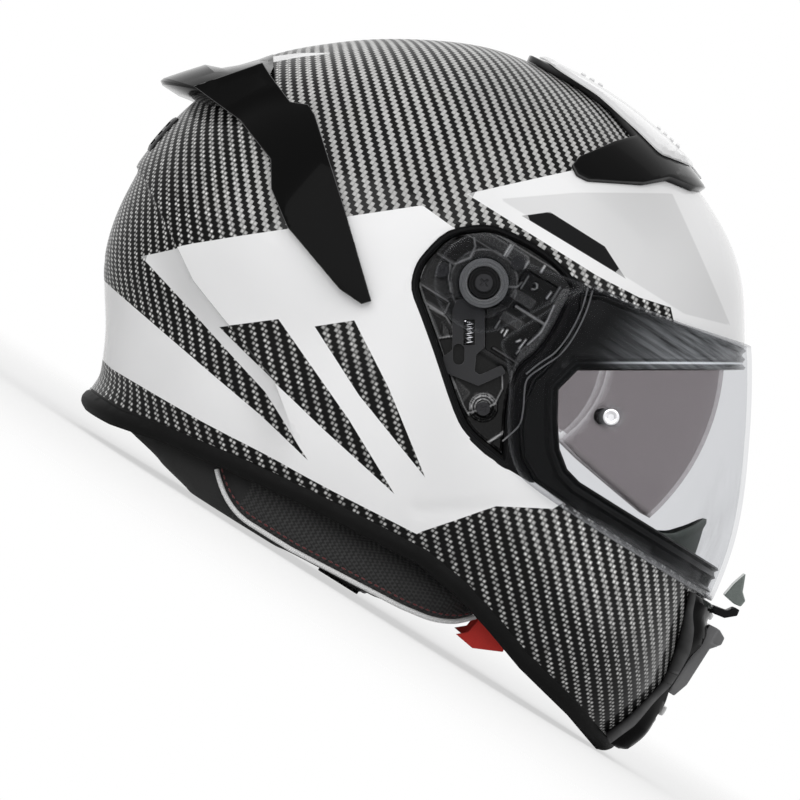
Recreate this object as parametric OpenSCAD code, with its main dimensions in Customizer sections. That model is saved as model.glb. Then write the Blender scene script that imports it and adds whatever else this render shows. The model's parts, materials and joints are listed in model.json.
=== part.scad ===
// Full face motorcycle helmet, standing on its chin rim and neck roll.
// +Z is up, the face looks along -Y and the wearer's right is -X.

/* [Shell] */
// Half of the shell's width at the ears
shell_half_width = 125; // [121:1:127]
// Thickness of the laminated shell wall
shell_wall = 4; // [3:0.5:5]
// Squareness of the shell's section, where 2 is an ellipse
shell_square = 2.3; // [2.25:0.05:2.4]
// Depth of the flat side pocket for the visor mechanism, from the shell's widest point
pocket_depth = 15; // [14.5:0.5:16]

/* [Liner] */
// Thickness of the foam at the ears, before the slots in it
ear_foam = 31.4; // [30:0.2:34]
// Half of the length of the space for the head
head_half_length = 106; // [102:1:108]
// Half of the height of the space for the head
head_half_height = 90; // [86:1:92]
// Thickness of the soft crown liner
comfort_wall = 9; // [7:0.5:11]
// Thickness of the foam in the chin bar and beside the cheeks
cheek_foam = 26; // [24:1:28]
// Clear width between the two cheek pads
cheek_gap = 124; // [118:2:132]
// Height of the foam's lower edge over the shell's rim
foam_lift = 20; // [18:1:24]

/* [Visor] */
// Thickness of the clear visor
visor_wall = 2.2; // [1.8:0.2:2.6]
// Gap between the shell's surface and the inside of the visor
visor_gap = 0.8; // [0.7:0.1:1.2]
// Radius of the visor's round ear over the pivot
ear_radius = 23; // [21:1:24]
// Width of the lift tab on the visor's lower edge
tab_width = 30; // [20:2:40]
// Radius of each lens pin
lens_pin_radius = 4; // [3:0.5:5]

/* [Sun visor] */
// Distance from the sun visor's pivot to its outer face on the centre line
sun_radius = 105; // [103:1:106]
// Thickness of the sun visor
sun_wall = 2; // [1.6:0.2:2.4]
// Room on each side of the sun visor in its slot in the foam
sun_room = 2.5; // [2:0.5:3]
// How far the sun visor's curve would run on past its arms to the pivot axis
sun_bulge = 14; // [12:0.5:16]
// Room between each sun visor arm and the wall of the shell's pocket
sun_arm_room = 5.5; // [5:0.5:6]
// Travel of the thumb slider that works the sun visor
slider_travel = 24; // [20:1:26]

/* [Visor mechanism] */
// Floor thickness of each base plate
plate_floor = 2.2; // [1.8:0.2:2.6]
// Height of the base plate's rim over its floor
plate_rim = 2.2; // [1.6:0.2:2.4]
// Wall of the base plate's rim and ribs
plate_rib = 1.4; // [1:0.2:1.8]
// Radius of the post that the visor hub turns on
post_radius = 7.5; // [6.5:0.5:8]
// Radius of the visor hub
hub_radius = 11.5; // [10.5:0.5:12]
// Radius of the pivot pin of the sun visor
sun_pin_radius = 3; // [2:0.5:3.5]
// Travel of the release lever
lever_travel = 4; // [3:0.5:4.5]
// Thickness of the release lever
lever_wall = 2.2; // [1.6:0.2:2.6]
// Wire diameter of the lever's spring
spring_wire = 0.7; // [0.5:0.1:0.8]
// Outer diameter of the lever's spring
spring_width = 4.4; // [3.8:0.2:4.6]
// Number of curls in the lever's spring
spring_curls = 5; // [4:1:6]

/* [Vents and spoiler] */
// How far the brow vent frame stands off the shell
brow_rise = 3.5; // [3:0.5:4.5]
// How far the brow vent cover stands off its frame
cover_rise = 2; // [1.6:0.2:3]
// Width of the front vent slider
front_slider_width = 30; // [24:2:34]
// Width of the top vent slider
top_slider_width = 22; // [18:2:26]
// Travel of the vent sliders and of the chin shutter
vent_travel = 6; // [4:0.5:7]
// How far the chin vent frame stands off the shell
chin_rise = 6.5; // [5.5:0.5:7.5]
// Width of the chin shutter
shutter_width = 52; // [44:2:56]
// How far the spoiler's side arms stand off the shell
spoiler_rise = 6; // [4:0.5:8]
// Half of the spoiler wing's span
wing_half_span = 84; // [78:2:88]
// Thickness of the wing at its trailing edge
wing_edge = 3.5; // [2.5:0.5:5]

/* [Trim and soft parts] */
// Height of the rubber trim on the shell's rim
trim_height = 8; // [7:0.5:9]
// How far the rim trim stands proud of the shell on both sides
trim_lip = 2.2; // [1.6:0.2:2.6]
// Half of the thickness of the neck roll
roll_half_thickness = 13; // [11:0.5:14]
// Diameter of the piping on the neck roll
piping_width = 3; // [2:0.5:4]
// Width of the chin strap's webbing
strap_width = 22; // [20:1:25]
// Thickness of the chin strap's webbing
strap_wall = 1.6; // [1.2:0.2:2]
// Length of the D-rings' straight bar
ring_bar = 26; // [25:1:30]
// Wire radius of the D-rings
ring_wire = 1.8; // [1.5:0.1:2]

/* [Hidden] */
$fn = 48;

// Clearances
seat = 0.3;            // between curved faces that lie on each other
fit = 0.05;            // radial running clearance of a pin in its bore
slide_room = 0.6;      // under a slider that moves over a curved face
far = 220;             // reach of a cut that runs clean through the helmet

// Centre of the shell's form in the side view, and the outline's distance from it
// every 15 degrees, from straight back, over the crown, down the face and under the chin
centre = [20, 115];
outline_reach = [150, 150, 149, 144, 142, 143.5, 144.5, 149, 155.5, 161.5, 161, 167,
    180, 194, 214, 192, 165, 153, 150, 150, 149, 147, 141, 147];
spokes = 48;
rings = 16;

// Pivots in the side view, as [y, z]
visor_pivot = [2.5, 156.3];
sun_pivot = [-22, 135];

// Lower edge of the shell
rim_line = [[-far, 2], [-158, 2], [-137, 9], [-106, 16], [-85, 23], [-64, 29], [-41, 32],
    [-14, 30], [20, 27], [59, 22], [89, 17], [112, 14], [far, 14]];
// Underside of the neck roll against y
roll_bottom = [[-100, 16], [-84, 15], [-70, 10], [-44, 6], [-18, 4], [8, 2], [34, 0],
    [66, 0], [80, 2], [100, 7], [124, 11]];

// Cut in the shell for the face, and the smaller clear opening inside the gasket
eyeport_cut = [[-38, 176], [-48, 181], [-60, 183], [-90, 190], [-121, 197], [-far, 222],
    [-far, 90], [-86, 90], [-66, 91], [-55, 97], [-47, 108], [-42, 119], [-40, 131],
    [-43, 141], [-44, 152], [-43, 166]];
eyeport_clear = [[-56, 146], [-128, 191], [-far, 249], [-far, 103], [-105, 102], [-84, 102],
    [-76, 104], [-68, 110], [-60, 121], [-53, 133]];

// Side pocket for the visor mechanism
pocket = [[17, 179], [29, 168], [33, 154], [33, 145], [29, 136], [19, 128], [5, 117],
    [-17, 99], [-28, 93], [-41, 91], [-51, 91], [-45, 104], [-38, 118], [-35, 131],
    [-38, 141], [-39, 152], [-38, 166], [-34, 179], [-14, 184], [5, 183]];

// Edge of the mechanism's base plate, which keeps under the visor at the top
plate_edge = [[16, 176], [27, 168], [32, 155], [32, 146], [28, 137], [18, 129], [4, 118],
    [-17, 100.5], [-28, 94.5], [-39, 92.5], [-46, 93.5], [-43, 104], [-37, 118], [-34, 131],
    [-36.5, 141], [-37.5, 152], [-36, 163], [-30, 171], [-14, 176], [3, 178]];

// Clear visor, without its round ears
visor_edge = [[-13, 180], [-39, 182], [-60, 184.5], [-84, 189], [-103, 194], [-121, 199],
    [-far, 224], [-far, 87], [-150, 87], [-104, 87], [-75, 87.5], [-58, 89], [-48, 97],
    [-39, 110], [-33, 122], [-25, 132], [-14, 137]];

// Derived planes across the helmet
pocket_x = shell_half_width - pocket_depth;
plate_x = pocket_x + seat;
plate_top = plate_x + plate_floor;
rim_top = plate_top + plate_rim;
sun_arm_x = pocket_x - shell_wall - sun_arm_room;
// Half of the width of the space for the head
head_half_width = shell_half_width - shell_wall - ear_foam - comfort_wall - 2 * seat;
hub_face = shell_x(visor_pivot, visor_gap) - 3;
ring_step = 180 / rings;

function wrap(k, n) = (k + n) % n;
function spline(a, b, c, d, t) = 0.5 * (2 * b + (c - a) * t + (2 * a - 5 * b + 4 * c - d) * t * t
    + (3 * b - a - 3 * c + d) * t * t * t);
function reach(angle) = let (n = len(outline_reach), s = (angle % 360 + 360) % 360 * n / 360,
        k = floor(s))
    spline(outline_reach[wrap(k - 1, n)], outline_reach[wrap(k, n)],
        outline_reach[wrap(k + 1, n)], outline_reach[wrap(k + 2, n)], s - k);
// Points on a smooth closed curve through pts, with steps points for each span
function smooth(pts, steps = 4) = let (n = len(pts))
    [for (k = [0:n - 1], j = [0:steps - 1]) spline(pts[wrap(k - 1, n)], pts[k],
        pts[wrap(k + 1, n)], pts[wrap(k + 2, n)], j / steps)];
// Distance from the centre line to the form's surface at a side-view point
function shell_x(p, off = 0) = let (v = p - centre, q = norm(v)
        / (reach(atan2(v[1], v[0])) + off))
    q >= 1 ? 0 : (shell_half_width + off) * pow(1 - pow(q, shell_square), 1 / shell_square);
function lifted(line, h) = [for (p = line) p + [0, h]];
function turned(p, a) = [p[0] * cos(a) - p[1] * sin(a), p[0] * sin(a) + p[1] * cos(a)];

// Makes one closed mesh of everything inside it
module one_skin() { resize([0, 0, 0]) children(); }

// The shell's form grown by off all round, as a closed body
module form(off = 0) {
    body = [for (j = [1:rings - 1], i = [0:spokes - 1])
        let (f = ring_step * j - 90, a = 360 * i / spokes,
            s = pow(cos(f), 2 / shell_square), r = (reach(a) + off) * s,
            x = sign(f) * (shell_half_width + off) * pow(abs(sin(f)), 2 / shell_square))
        [x, centre[0] + r * cos(a), centre[1] + r * sin(a)]];
    pole = shell_half_width + off;
    n = len(body);
    points = concat(body, [[-pole, centre[0], centre[1]], [pole, centre[0], centre[1]]]);
    faces = concat(
        [for (j = [0:rings - 3], i = [0:spokes - 1], h = [0, 1])
            let (a = j * spokes + i, b = j * spokes + (i + 1) % spokes, c = a + spokes,
                d = b + spokes)
            h == 0 ? [a, d, b] : [a, c, d]],
        [for (i = [0:spokes - 1]) [n, i, (i + 1) % spokes]],
        [for (i = [0:spokes - 1]) let (a = (rings - 2) * spokes + i,
            b = (rings - 2) * spokes + (i + 1) % spokes) [n + 1, b, a]]);
    polyhedron(points, faces);
}
// The wall of the form from lo to hi
module wall(lo, hi) {
    difference() {
        form(hi);
        form(lo);
    }
}
// A side-view outline extruded across the helmet from x0 to x1
module slab(x0, x1) {
    translate([x0, 0, 0]) rotate([90, 0, 90]) linear_extrude(x1 - x0) children();
}
module through() { slab(-far, far) children(); }
// The part of the form's wall inside a side-view outline, on both sides of the helmet
module patch(lo, hi) {
    intersection() {
        wall(lo, hi);
        through() children();
    }
}
// A cylinder across the helmet at side-view point p
module cross_pin(p, x0, x1, r) {
    translate([x0, p[0], p[1]]) rotate([0, 90, 0]) cylinder(h = x1 - x0, r = r);
}
module under(line, h = 0) {
    polygon(concat(lifted(line, h), [[far, -far], [-far, -far]]));
}
module right_side() { mirror([1, 0, 0]) children(); }
module both_sides() {
    children();
    right_side() children();
}

// Flat pockets in both sides: floor at x, outline grown by grow
module side_pockets(x, grow) {
    both_sides() slab(x, far) offset(delta = grow) polygon(smooth(pocket, 2));
}
// Air inlets through the crown and the chin, and the exhausts at the back
module air_holes() {
    for (x = [-24, 24]) hull() for (y = [-34, -14])
        translate([x, y, 200]) cylinder(h = far, r = 4, $fn = 12);
    hull() for (x = [-shutter_width / 2 + 12, shutter_width / 2 - 12])
        translate([x, -130, 57]) rotate([90, 0, 0]) cylinder(h = 60, r = 9, $fn = 16);
    for (x = [-22, 22]) hull() for (dx = [-8, 8])
        translate([x + dx, 110, 136]) rotate([-90, 0, 0]) cylinder(h = 90, r = 5, $fn = 12);
}

module outer_shell() {
    color([0.16, 0.16, 0.17]) one_skin() difference() {
        form(0);
        difference() {
            form(-shell_wall);
            side_pockets(pocket_x - shell_wall, shell_wall);
        }
        side_pockets(pocket_x, 0);
        through() polygon(eyeport_cut);
        through() under(rim_line);
        air_holes();
        both_sides() cross_pin(sun_pivot, sun_arm_x, far, sun_pin_radius + 1, $fn = 16);
        both_sides() plate_screw_places(pocket_x - 2 * shell_wall, pocket_x + 1, 2, $fn = 8);
    }
}

// The free space for the head, grown by off
module head_space(off) {
    translate([0, centre[0], 131]) scale([head_half_width + off, head_half_length + off,
        head_half_height + off]) sphere(r = 1, $fn = 28);
}
module neck_passage(grow, top) {
    translate([0, -8, -1]) linear_extrude(top + 1)
        polygon([for (a = [0:9:351]) let (c = cos(a), s = sin(a))
            [(head_half_width + grow) * sign(c) * pow(abs(c), 0.85),
                (118 + grow) * sign(s) * pow(abs(s), 0.85)]]);
}
eps_gap = shell_wall + seat;
liner_band = [[-far, 72], [far, 72], [far, far + 100], [-far, far + 100]];
module sun_slot() {
    translate([0, sun_pivot[0], sun_pivot[1]]) rotate([0, 90, 0])
        rotate_extrude($fn = 36) polygon(concat(
            [for (x = sun_stations(10)) [sun_curve(x) + sun_room, x]],
            [for (x = sun_stations(-10)) [sun_curve(x) - sun_wall - sun_room, x]]));
}
module eps_liner() {
    color([0.12, 0.12, 0.13]) one_skin() difference() {
        form(-eps_gap);
        side_pockets(pocket_x - eps_gap, eps_gap);
        head_space(comfort_wall + seat);
        neck_passage(0, 105);
        intersection() {
            form(-cheek_foam - shell_wall);
            through() polygon([[-far, -50], [45, -50], [45, 114], [-far, 114]]);
        }
        through() polygon(eyeport_cut);
        through() polygon([[-50, 150], [-128, 196], [-far, 245], [-far, 96], [-80, 96],
            [-60, 104], [-44, 122]]);
        through() under(rim_line, foam_lift);
        intersection() {
            sun_slot();
            through() polygon([[-40, 100], [-160, 60], [-200, 300], [30, 300], [0, 180]]);
        }
        both_sides() cross_pin(sun_pivot, sun_arm_x - sun_wall - 1.6, far, 56, $fn = 30);
        air_holes();
    }
}

liner_front = [[-far, 60], [-44, 60], [-44, 130], [-52, 150], [-far, 252]];
module crown_liner() {
    color([0.1, 0.1, 0.11]) one_skin() difference() {
        intersection() {
            head_space(comfort_wall);
            through() polygon(liner_band);
        }
        head_space(0);
        through() polygon(liner_front);
        through() polygon([[-90, 60], [42, 60], [42, 114], [-90, 114]]);
    }
}

cheek_outline = [[-96, 60], [-88, 49], [-60, 50], [-10, 50], [26, 46], [38, 56], [39, 92],
    [28, 108], [0, 110], [-30, 106], [-62, 95], [-88, 84]];
module cheek_pad() {
    color([0.11, 0.11, 0.12]) one_skin() difference() {
        intersection() {
            form(-cheek_foam - shell_wall - seat);
            slab(cheek_gap / 2 - 4, far) polygon(smooth(cheek_outline, 2));
        }
        translate([0, -28, 80]) scale([cheek_gap / 2 + 3, 110, 80]) sphere(r = 1, $fn = 32);
    }
}
module cheek_pad_left() { cheek_pad(); }
module cheek_pad_right() { right_side() cheek_pad(); }

// Neck roll: a tall pad swept round the neck opening, open at the chin
roll_top = 33.4;
roll_sides = 14;
roll_steps = 30;
roll_end = 146;
roll_centre_y = 20;
roll_room = 4.24;        // between the roll and the rim trim at the sides
roll_side_x = shell_x([roll_centre_y, 27], -shell_wall) - trim_lip - roll_room
    - roll_half_thickness;
roll_back_y = 97.6 - roll_half_thickness;
roll_front_y = 122 - roll_half_thickness;
function power(v, p) = sign(v) * pow(abs(v), p);
function roll_path(a, grow = 0) = let (back = cos(a) > 0, p = back ? 0.95 : 0.72)
    [power(sin(a), p) * (roll_side_x + grow),
        roll_centre_y + power(cos(a), p) * ((back ? roll_back_y : roll_front_y) + grow)];
function roll_taper(a) = let (t = abs(a) / roll_end) t < 0.82 ? 1
    : 0.35 + 0.65 * sqrt(max(0, 1 - pow((t - 0.82) / 0.18, 2)));
function roll_low(a) = lookup(roll_path(a, roll_half_thickness)[1], roll_bottom) - 1.6;
module neck_roll() {
    points = [for (i = [0:roll_steps], k = [0:roll_sides - 1])
        let (a = -roll_end + 2 * roll_end * i / roll_steps, b = 360 * k / roll_sides,
            low = roll_low(a), top = min(roll_top, low + 34),
            half = (top - low) / 2, mid = (top + low) / 2, t = roll_taper(a),
            p = roll_path(a, roll_half_thickness * t * power(cos(b), 0.8)))
        [p[0], p[1], mid + half * t * power(sin(b), 0.8)]];
    n = roll_sides;
    faces = concat(
        [for (i = [0:roll_steps - 1], k = [0:n - 1], h = [0, 1])
            let (a = i * n + k, b = i * n + (k + 1) % n, c = a + n, d = b + n)
            h == 0 ? [a, d, b] : [a, c, d]],
        [[for (k = [0:n - 1]) k], [for (k = [n - 1:-1:0]) roll_steps * n + k]]);
    color([0.05, 0.05, 0.05]) one_skin() difference() {
        polyhedron(points, faces);
        translate([-far, -far, -20]) cube([2 * far, 2 * far, 20]);
    }
}
// Piping along the outer lower edge of the neck roll's front panels
piping_steps = 14;
module piping(side) {
    function at(i) = let (a = side * (66 + 70 * i / piping_steps),
            p = roll_path(a, roll_half_thickness + piping_width / 2 - 1.2))
        [p[0], p[1], max(roll_low(a), 0) + 3.2 + piping_width / 2];
    n = 6;
    points = [for (i = [0:piping_steps], k = [0:n - 1])
        let (c = at(i), b = 360 * k / n, a = side * (66 + 70 * i / piping_steps),
            out = [sin(a), cos(a)], r = piping_width / 2)
        [c[0] + r * cos(b) * out[0], c[1] + r * cos(b) * out[1], c[2] + r * sin(b)]];
    faces = concat(
        [for (i = [0:piping_steps - 1], k = [0:n - 1], h = [0, 1])
            let (a = i * n + k, b = i * n + (k + 1) % n, c = a + n, d = b + n)
            h == 0 ? [a, d, b] : [a, c, d]],
        [[for (k = [0:n - 1]) k], [for (k = [n - 1:-1:0]) piping_steps * n + k]]);
    polyhedron(points, side > 0 ? faces : [for (f = faces) [for (k = [len(f) - 1:-1:0]) f[k]]]);
}
module neck_piping() {
    color("white") one_skin() difference() {
        union() {
            piping(1);
            piping(-1);
        }
        neck_roll();
    }
}

module rim_trim() {
    color([0.04, 0.04, 0.04]) one_skin() difference() {
        intersection() {
            wall(-shell_wall - trim_lip, trim_lip);
            through() difference() {
                under(rim_line, trim_height - 2);
                under(rim_line, -2);
            }
        }
        difference() {
            wall(-shell_wall - 0.1, 0.1);
            through() under(rim_line, -0.1);
        }
    }
}

module eyeport_gasket() {
    color([0.05, 0.05, 0.05]) one_skin() patch(-shell_wall, 0.4) difference() {
        offset(delta = -0.15) polygon(eyeport_cut);
        polygon(eyeport_clear);
    }
}

module visor_outline() {
    polygon(visor_edge);
    translate(visor_pivot) circle(r = ear_radius, $fn = 30);
}
module visor_shield() {
    color([0.75, 0.8, 0.85, 0.35]) one_skin() difference() {
        union() {
            patch(visor_gap, visor_gap + visor_wall) visor_outline();
            both_sides() intersection() {
                form(visor_gap + visor_wall / 2);
                cross_pin(visor_pivot, hub_face, far, hub_radius + 1.5, $fn = 28);
            }
        }
        both_sides() cross_pin(lens_pin_place, 60, far, lens_pin_radius + 0.2, $fn = 20);
        both_sides() cross_pin(visor_pivot, 60, far, post_radius + 0.5, $fn = 24);
    }
}
lens_pin_place = [-80, 135];
module lens_pins() {
    x = shell_x(lens_pin_place, visor_gap);
    color([0.85, 0.86, 0.88]) both_sides() {
        cross_pin(lens_pin_place, x - 4, x + visor_wall + 1.6, lens_pin_radius);
        cross_pin(lens_pin_place, x - 6.5, x - 4, lens_pin_radius - 1);
    }
}
module visor_tab() {
    color([0.7, 0.75, 0.8]) difference() {
        slab(-tab_width / 2, tab_width / 2)
            polygon([[-174.6, 107], [-178, 99], [-181.5, 96], [-181, 92.5], [-177.5, 92],
                [-171.5, 93], [-172.5, 100]]);
        for (s = [-1, 1]) translate([s * tab_width / 2, -182, 92]) rotate([0, 0, 45])
            cube([7, 7, 40], center = true);
    }
}

// Sun visor: a body of revolution about its own pivot axis
sun_half = sun_arm_x + sun_bulge;
function sun_curve(x) = sun_radius * sqrt(1 - pow(x / sun_half, 2));
// Places across the sun visor, n even steps of its curve, in reverse for a negative n
function sun_stations(n) = let (a = asin(sun_arm_x / sun_half))
    [for (k = [0:abs(n)]) sun_half * sin(sign(n) * a * (2 * k / abs(n) - 1))];
sun_outline = [[-46, 153], [-52, 166], [-85, 186], [-112, 197], [-150, 180], [-150, 107],
    [-127, 105.5], [-118, 105], [-98, 108], [-79, 111], [-62, 115], [-48, 121]];
module sun_visor() {
    color([0.35, 0.33, 0.34, 0.6]) {
        intersection() {
            translate([0, sun_pivot[0], sun_pivot[1]]) rotate([0, 90, 0])
                rotate_extrude($fn = 96) polygon(concat(
                    [for (x = sun_stations(16)) [sun_curve(x), x]],
                    [for (x = sun_stations(-16)) [sun_curve(x) - sun_wall, x]]));
            slab(-sun_arm_x, sun_arm_x) polygon(sun_outline);
        }
        // Arms that fan out from the pivot to the visor's edge
        both_sides() difference() {
            slab(sun_arm_x - sun_wall, sun_arm_x)
                polygon(concat([[-16, 141], [-22, 144], [-46, 156]],
                    [for (a = [145:14:201]) sun_pivot
                        + (sun_curve(sun_arm_x) + sun_wall / 2) * [cos(a), sin(a)]],
                    [[-46, 119], [-22, 127], [-16, 130]]));
            cross_pin(sun_pivot, sun_arm_x - sun_wall - 1, sun_arm_x + 1, sun_pin_radius + fit);
        }
    }
}
module sun_visor_pins() {
    color([0.6, 0.6, 0.62]) both_sides() {
        cross_pin(sun_pivot, sun_arm_x - sun_wall - 1.4, plate_x, sun_pin_radius);
        cross_pin(sun_pivot, sun_arm_x + 0.4, sun_arm_x + 1.4, sun_pin_radius + 0.9);
    }
}

// Visor mechanism, drawn for the wearer's left side
screw_places = [[-28, 107], [22, 151], [-6, 172.5]];
module plate_screw_places(x0, x1, r) {
    for (p = screw_places) cross_pin(p, x0, x1, r);
}
lever_way = [-0.526, -0.850];
lever_turn = atan2(lever_way[1], lever_way[0]) + 90;
lever_pin = [-6.2, 120.5];
lever_x = plate_top + 0.4;
spring_place = [-3.8, 133.5];
spring_length = 11;
module ring_wall(p, r, w, h) {
    difference() {
        cross_pin(p, plate_x, h, r);
        cross_pin(p, plate_x - 1, h + 1, r - w);
    }
}
// A bar of the base plate from a to b, as wide as w
module bar(a, b, w, h, base = plate_x) {
    d = b - a;
    slab(base, h) translate(a) rotate(atan2(d[1], d[0])) translate([0, -w / 2])
        square([norm(d), w]);
}
// The room that the release lever needs on its way down
module lever_room() {
    offset(delta = 0.6) for (k = [0:3]) translate(k / 3 * lever_travel * lever_way)
        polygon(lever_outline);
}
module plate_features() {
    slab(plate_x, rim_top) difference() {
        polygon(smooth(plate_edge, 2));
        offset(delta = -plate_rib) polygon(smooth(plate_edge, 2));
    }
    ring_wall(visor_pivot, hub_radius + 2.6, plate_rib, rim_top);
    // Toothed detent arc ahead of the pivot
    slab(plate_x, rim_top) detent_arc();
    // Ribs that fan out from the pivot
    for (a = [10, 34, 58, 82, 130])
        bar(visor_pivot + 15 * [cos(a), sin(a)], visor_pivot + 22 * [cos(a), sin(a)],
            plate_rib, rim_top);
    // Bars and posts of the visor's guide
    bar([-13, 159.5], [-23, 159.5], 3, rim_top);
    bar([-17, 154.5], [-31, 154.5], 1.8, rim_top + 0.4);
    bar([-15, 148.5], [-24, 148.5], 3.4, rim_top);
    for (p = [[-20, 167], [-18, 142], [-26, 142]]) cross_pin(p, plate_x, rim_top + 0.6, 2);
    cross_pin([-32, 134.5], plate_x, rim_top - 0.6, 2);
    // Walls that guide the release lever
    bar([13.2, 141], [-2.6, 115.4], plate_rib, rim_top);
    bar([-9.5, 148.5], [-19.5, 132.4], plate_rib, rim_top);
    bar([-41, 104.5], [-38, 97], 2, rim_top);
    bar([-23, 117], [-34, 121], plate_rib, rim_top);
    bar([4, 120], [-14, 106], plate_rib, rim_top);
    for (p = screw_places) ring_wall(p, 5.2, 1.8, rim_top - 0.4);
}
module base_plate() {
    difference() {
        union() {
            slab(plate_x, plate_top) polygon(smooth(plate_edge, 2));
            difference() {
                plate_features();
                slab(plate_top, far) lever_room();
            }
            cross_pin(visor_pivot, plate_x, hub_face + 1.2, post_radius);
            cross_pin(lever_pin, plate_x, lever_x + lever_wall + 0.8, 2.6);
        }
        // Lightening windows
        for (w = [[[14, 147], 8, 6], [[24, 160], 5, 5], [[14, 131.5], 7, 8], [[-28, 163], 5, 6],
                [[-30, 148], 4, 6]])
            slab(plate_x - 1, plate_top + 0.01) translate(w[0]) rotate(-32)
                square([w[1], w[2]], center = true);
        cross_pin(visor_pivot, plate_x - 1, hub_face + 3, 2.1);
        plate_screw_places(plate_x - 1, far, 1.7);
        cross_pin(sun_pivot, plate_x - 1, plate_x + 0.2, sun_pin_radius + 1);
    }
}
module detent_arc() {
    arc = [for (a = [157:4:215]) visor_pivot + 38.5 * [cos(a), sin(a)]];
    back = [for (a = [215:-2:157]) visor_pivot + (a % 4 == 1 ? 35 : 36.4) * [cos(a), sin(a)]];
    polygon(concat(arc, back));
}
module base_plate_left() { color([0.07, 0.07, 0.07]) base_plate(); }
module base_plate_right() { color([0.07, 0.07, 0.07]) right_side() base_plate(); }

module visor_hub() {
    difference() {
        union() {
            cross_pin(visor_pivot, lever_x + lever_wall + 0.4, hub_face, hub_radius);
            slab(hub_face - 3.2, hub_face - 1.6) translate(visor_pivot) rotate(186)
                translate([0, -2.6]) square([hub_radius + 4, 5.2]);
        }
        cross_pin(visor_pivot, plate_x, far, post_radius + fit);
    }
}
module visor_hub_left() { color([0.1, 0.1, 0.1]) visor_hub(); }
module visor_hub_right() { color([0.1, 0.1, 0.1]) right_side() visor_hub(); }

module screw(p, x0, x1, r_head, r_body, head) {
    difference() {
        union() {
            cross_pin(p, x0, x1 - head, r_body);
            cross_pin(p, x1 - head, x1, r_head);
        }
        for (a = [0, 90]) translate([x1, p[0], p[1]]) rotate([a + 20, 0, 0])
            cube([1.6, r_head * 1.1, 0.9], center = true);
    }
}
module pivot_screws() {
    color([0.2, 0.2, 0.21]) both_sides() screw(visor_pivot, plate_x + 0.5, hub_face + 2.8, 4.2,
        2.05, 1.6);
}
module plate_screws() {
    color([0.25, 0.25, 0.26]) both_sides() for (p = screw_places)
        screw(p, pocket_x - shell_wall + 0.4, rim_top + 0.4, 3.2, 1.65, 1.4);
}

lever_outline = [[9, 143], [4.6, 146.6], [-1, 147.2], [-4.5, 145.6], [-13.5, 131.5], [-12, 126.5],
    [-15.5, 119.5], [-18.5, 119.5], [-24.5, 128.5], [-28.2, 126.5], [-20.5, 114.8],
    [-13, 113.5], [-5, 112], [0.5, 117.5], [-1.5, 122.5], [8, 138]];
module release_lever() {
    difference() {
        slab(lever_x, lever_x + lever_wall) offset(r = 1, $fn = 16) offset(delta = -1)
            polygon(lever_outline);
        slab(lever_x - 1, far) translate(spring_place) rotate(lever_turn)
            square([spring_width + 1, spring_length + 1], center = true);
        // Slot for the guide pin, long enough for the lever's travel
        for (t = [0, -lever_travel - 0.4]) cross_pin(lever_pin + t * lever_way, lever_x - 1,
            far, 2.7);
        slab(lever_x - 1, far) translate(lever_pin - lever_way * (lever_travel + 0.4) / 2)
            rotate(lever_turn) square([5.4, lever_travel + 0.4], center = true);
    }
}
module release_lever_left() { color([0.13, 0.13, 0.14]) release_lever(); }
module release_lever_right() { color([0.13, 0.13, 0.14]) right_side() release_lever(); }

module release_spring() {
    turns = spring_curls;
    n = 6;
    r = (spring_width - spring_wire) / 2;
    x = lever_x + spring_width / 2 - 0.3;
    long = spring_length - spring_wire;
    points = [for (i = [0:8 * turns], k = [0:n - 1])
        let (a = 45 * i, b = 360 * k / n, q = r + spring_wire / 2 * cos(b),
            t = i / (8 * turns),
            v = turned([q * cos(a), long * (t - 0.5) + spring_wire / 2 * sin(b)], lever_turn))
        [x + q * sin(a), spring_place[0] + v[0], spring_place[1] + v[1]]];
    faces = concat(
        [for (i = [0:8 * turns - 1], k = [0:n - 1], h = [0, 1])
            let (a = i * n + k, b = i * n + (k + 1) % n, c = a + n, d = b + n)
            h == 0 ? [a, d, b] : [a, c, d]],
        [[for (k = [0:n - 1]) k], [for (k = [n - 1:-1:0]) 8 * turns * n + k]]);
    polyhedron(points, faces);
}
module release_spring_left() { color([0.7, 0.7, 0.72]) release_spring(); }
module release_spring_right() { color([0.7, 0.7, 0.72]) right_side() release_spring(); }

// Brow vent
brow_outline = [[48, 259], [40, 275], [-70, 275], [-80, 255], [-70, 250], [-62, 244],
    [-47, 243], [-31, 233], [-22, 225], [-14, 220.5], [-3, 222], [-5, 232], [-12, 242],
    [-22, 249.5], [-6, 257], [22, 258.5]];
cover_outline = [[36, 263], [30, 275], [-58, 275], [-58, 255], [-46, 251.5], [-24, 255.5],
    [0, 261]];
module brow_vent_frame() {
    color([0.04, 0.04, 0.04]) one_skin() difference() {
        patch(seat, brow_rise) polygon(brow_outline);
        air_holes();
        // Scoop mouths on both sides
        difference() {
            through() polygon([[-47, 245.4], [-33, 236.3], [-14, 225.2], [-11.5, 233.1],
                [-28, 243.6]]);
            form(seat + 1.6);
        }
    }
}
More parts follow.
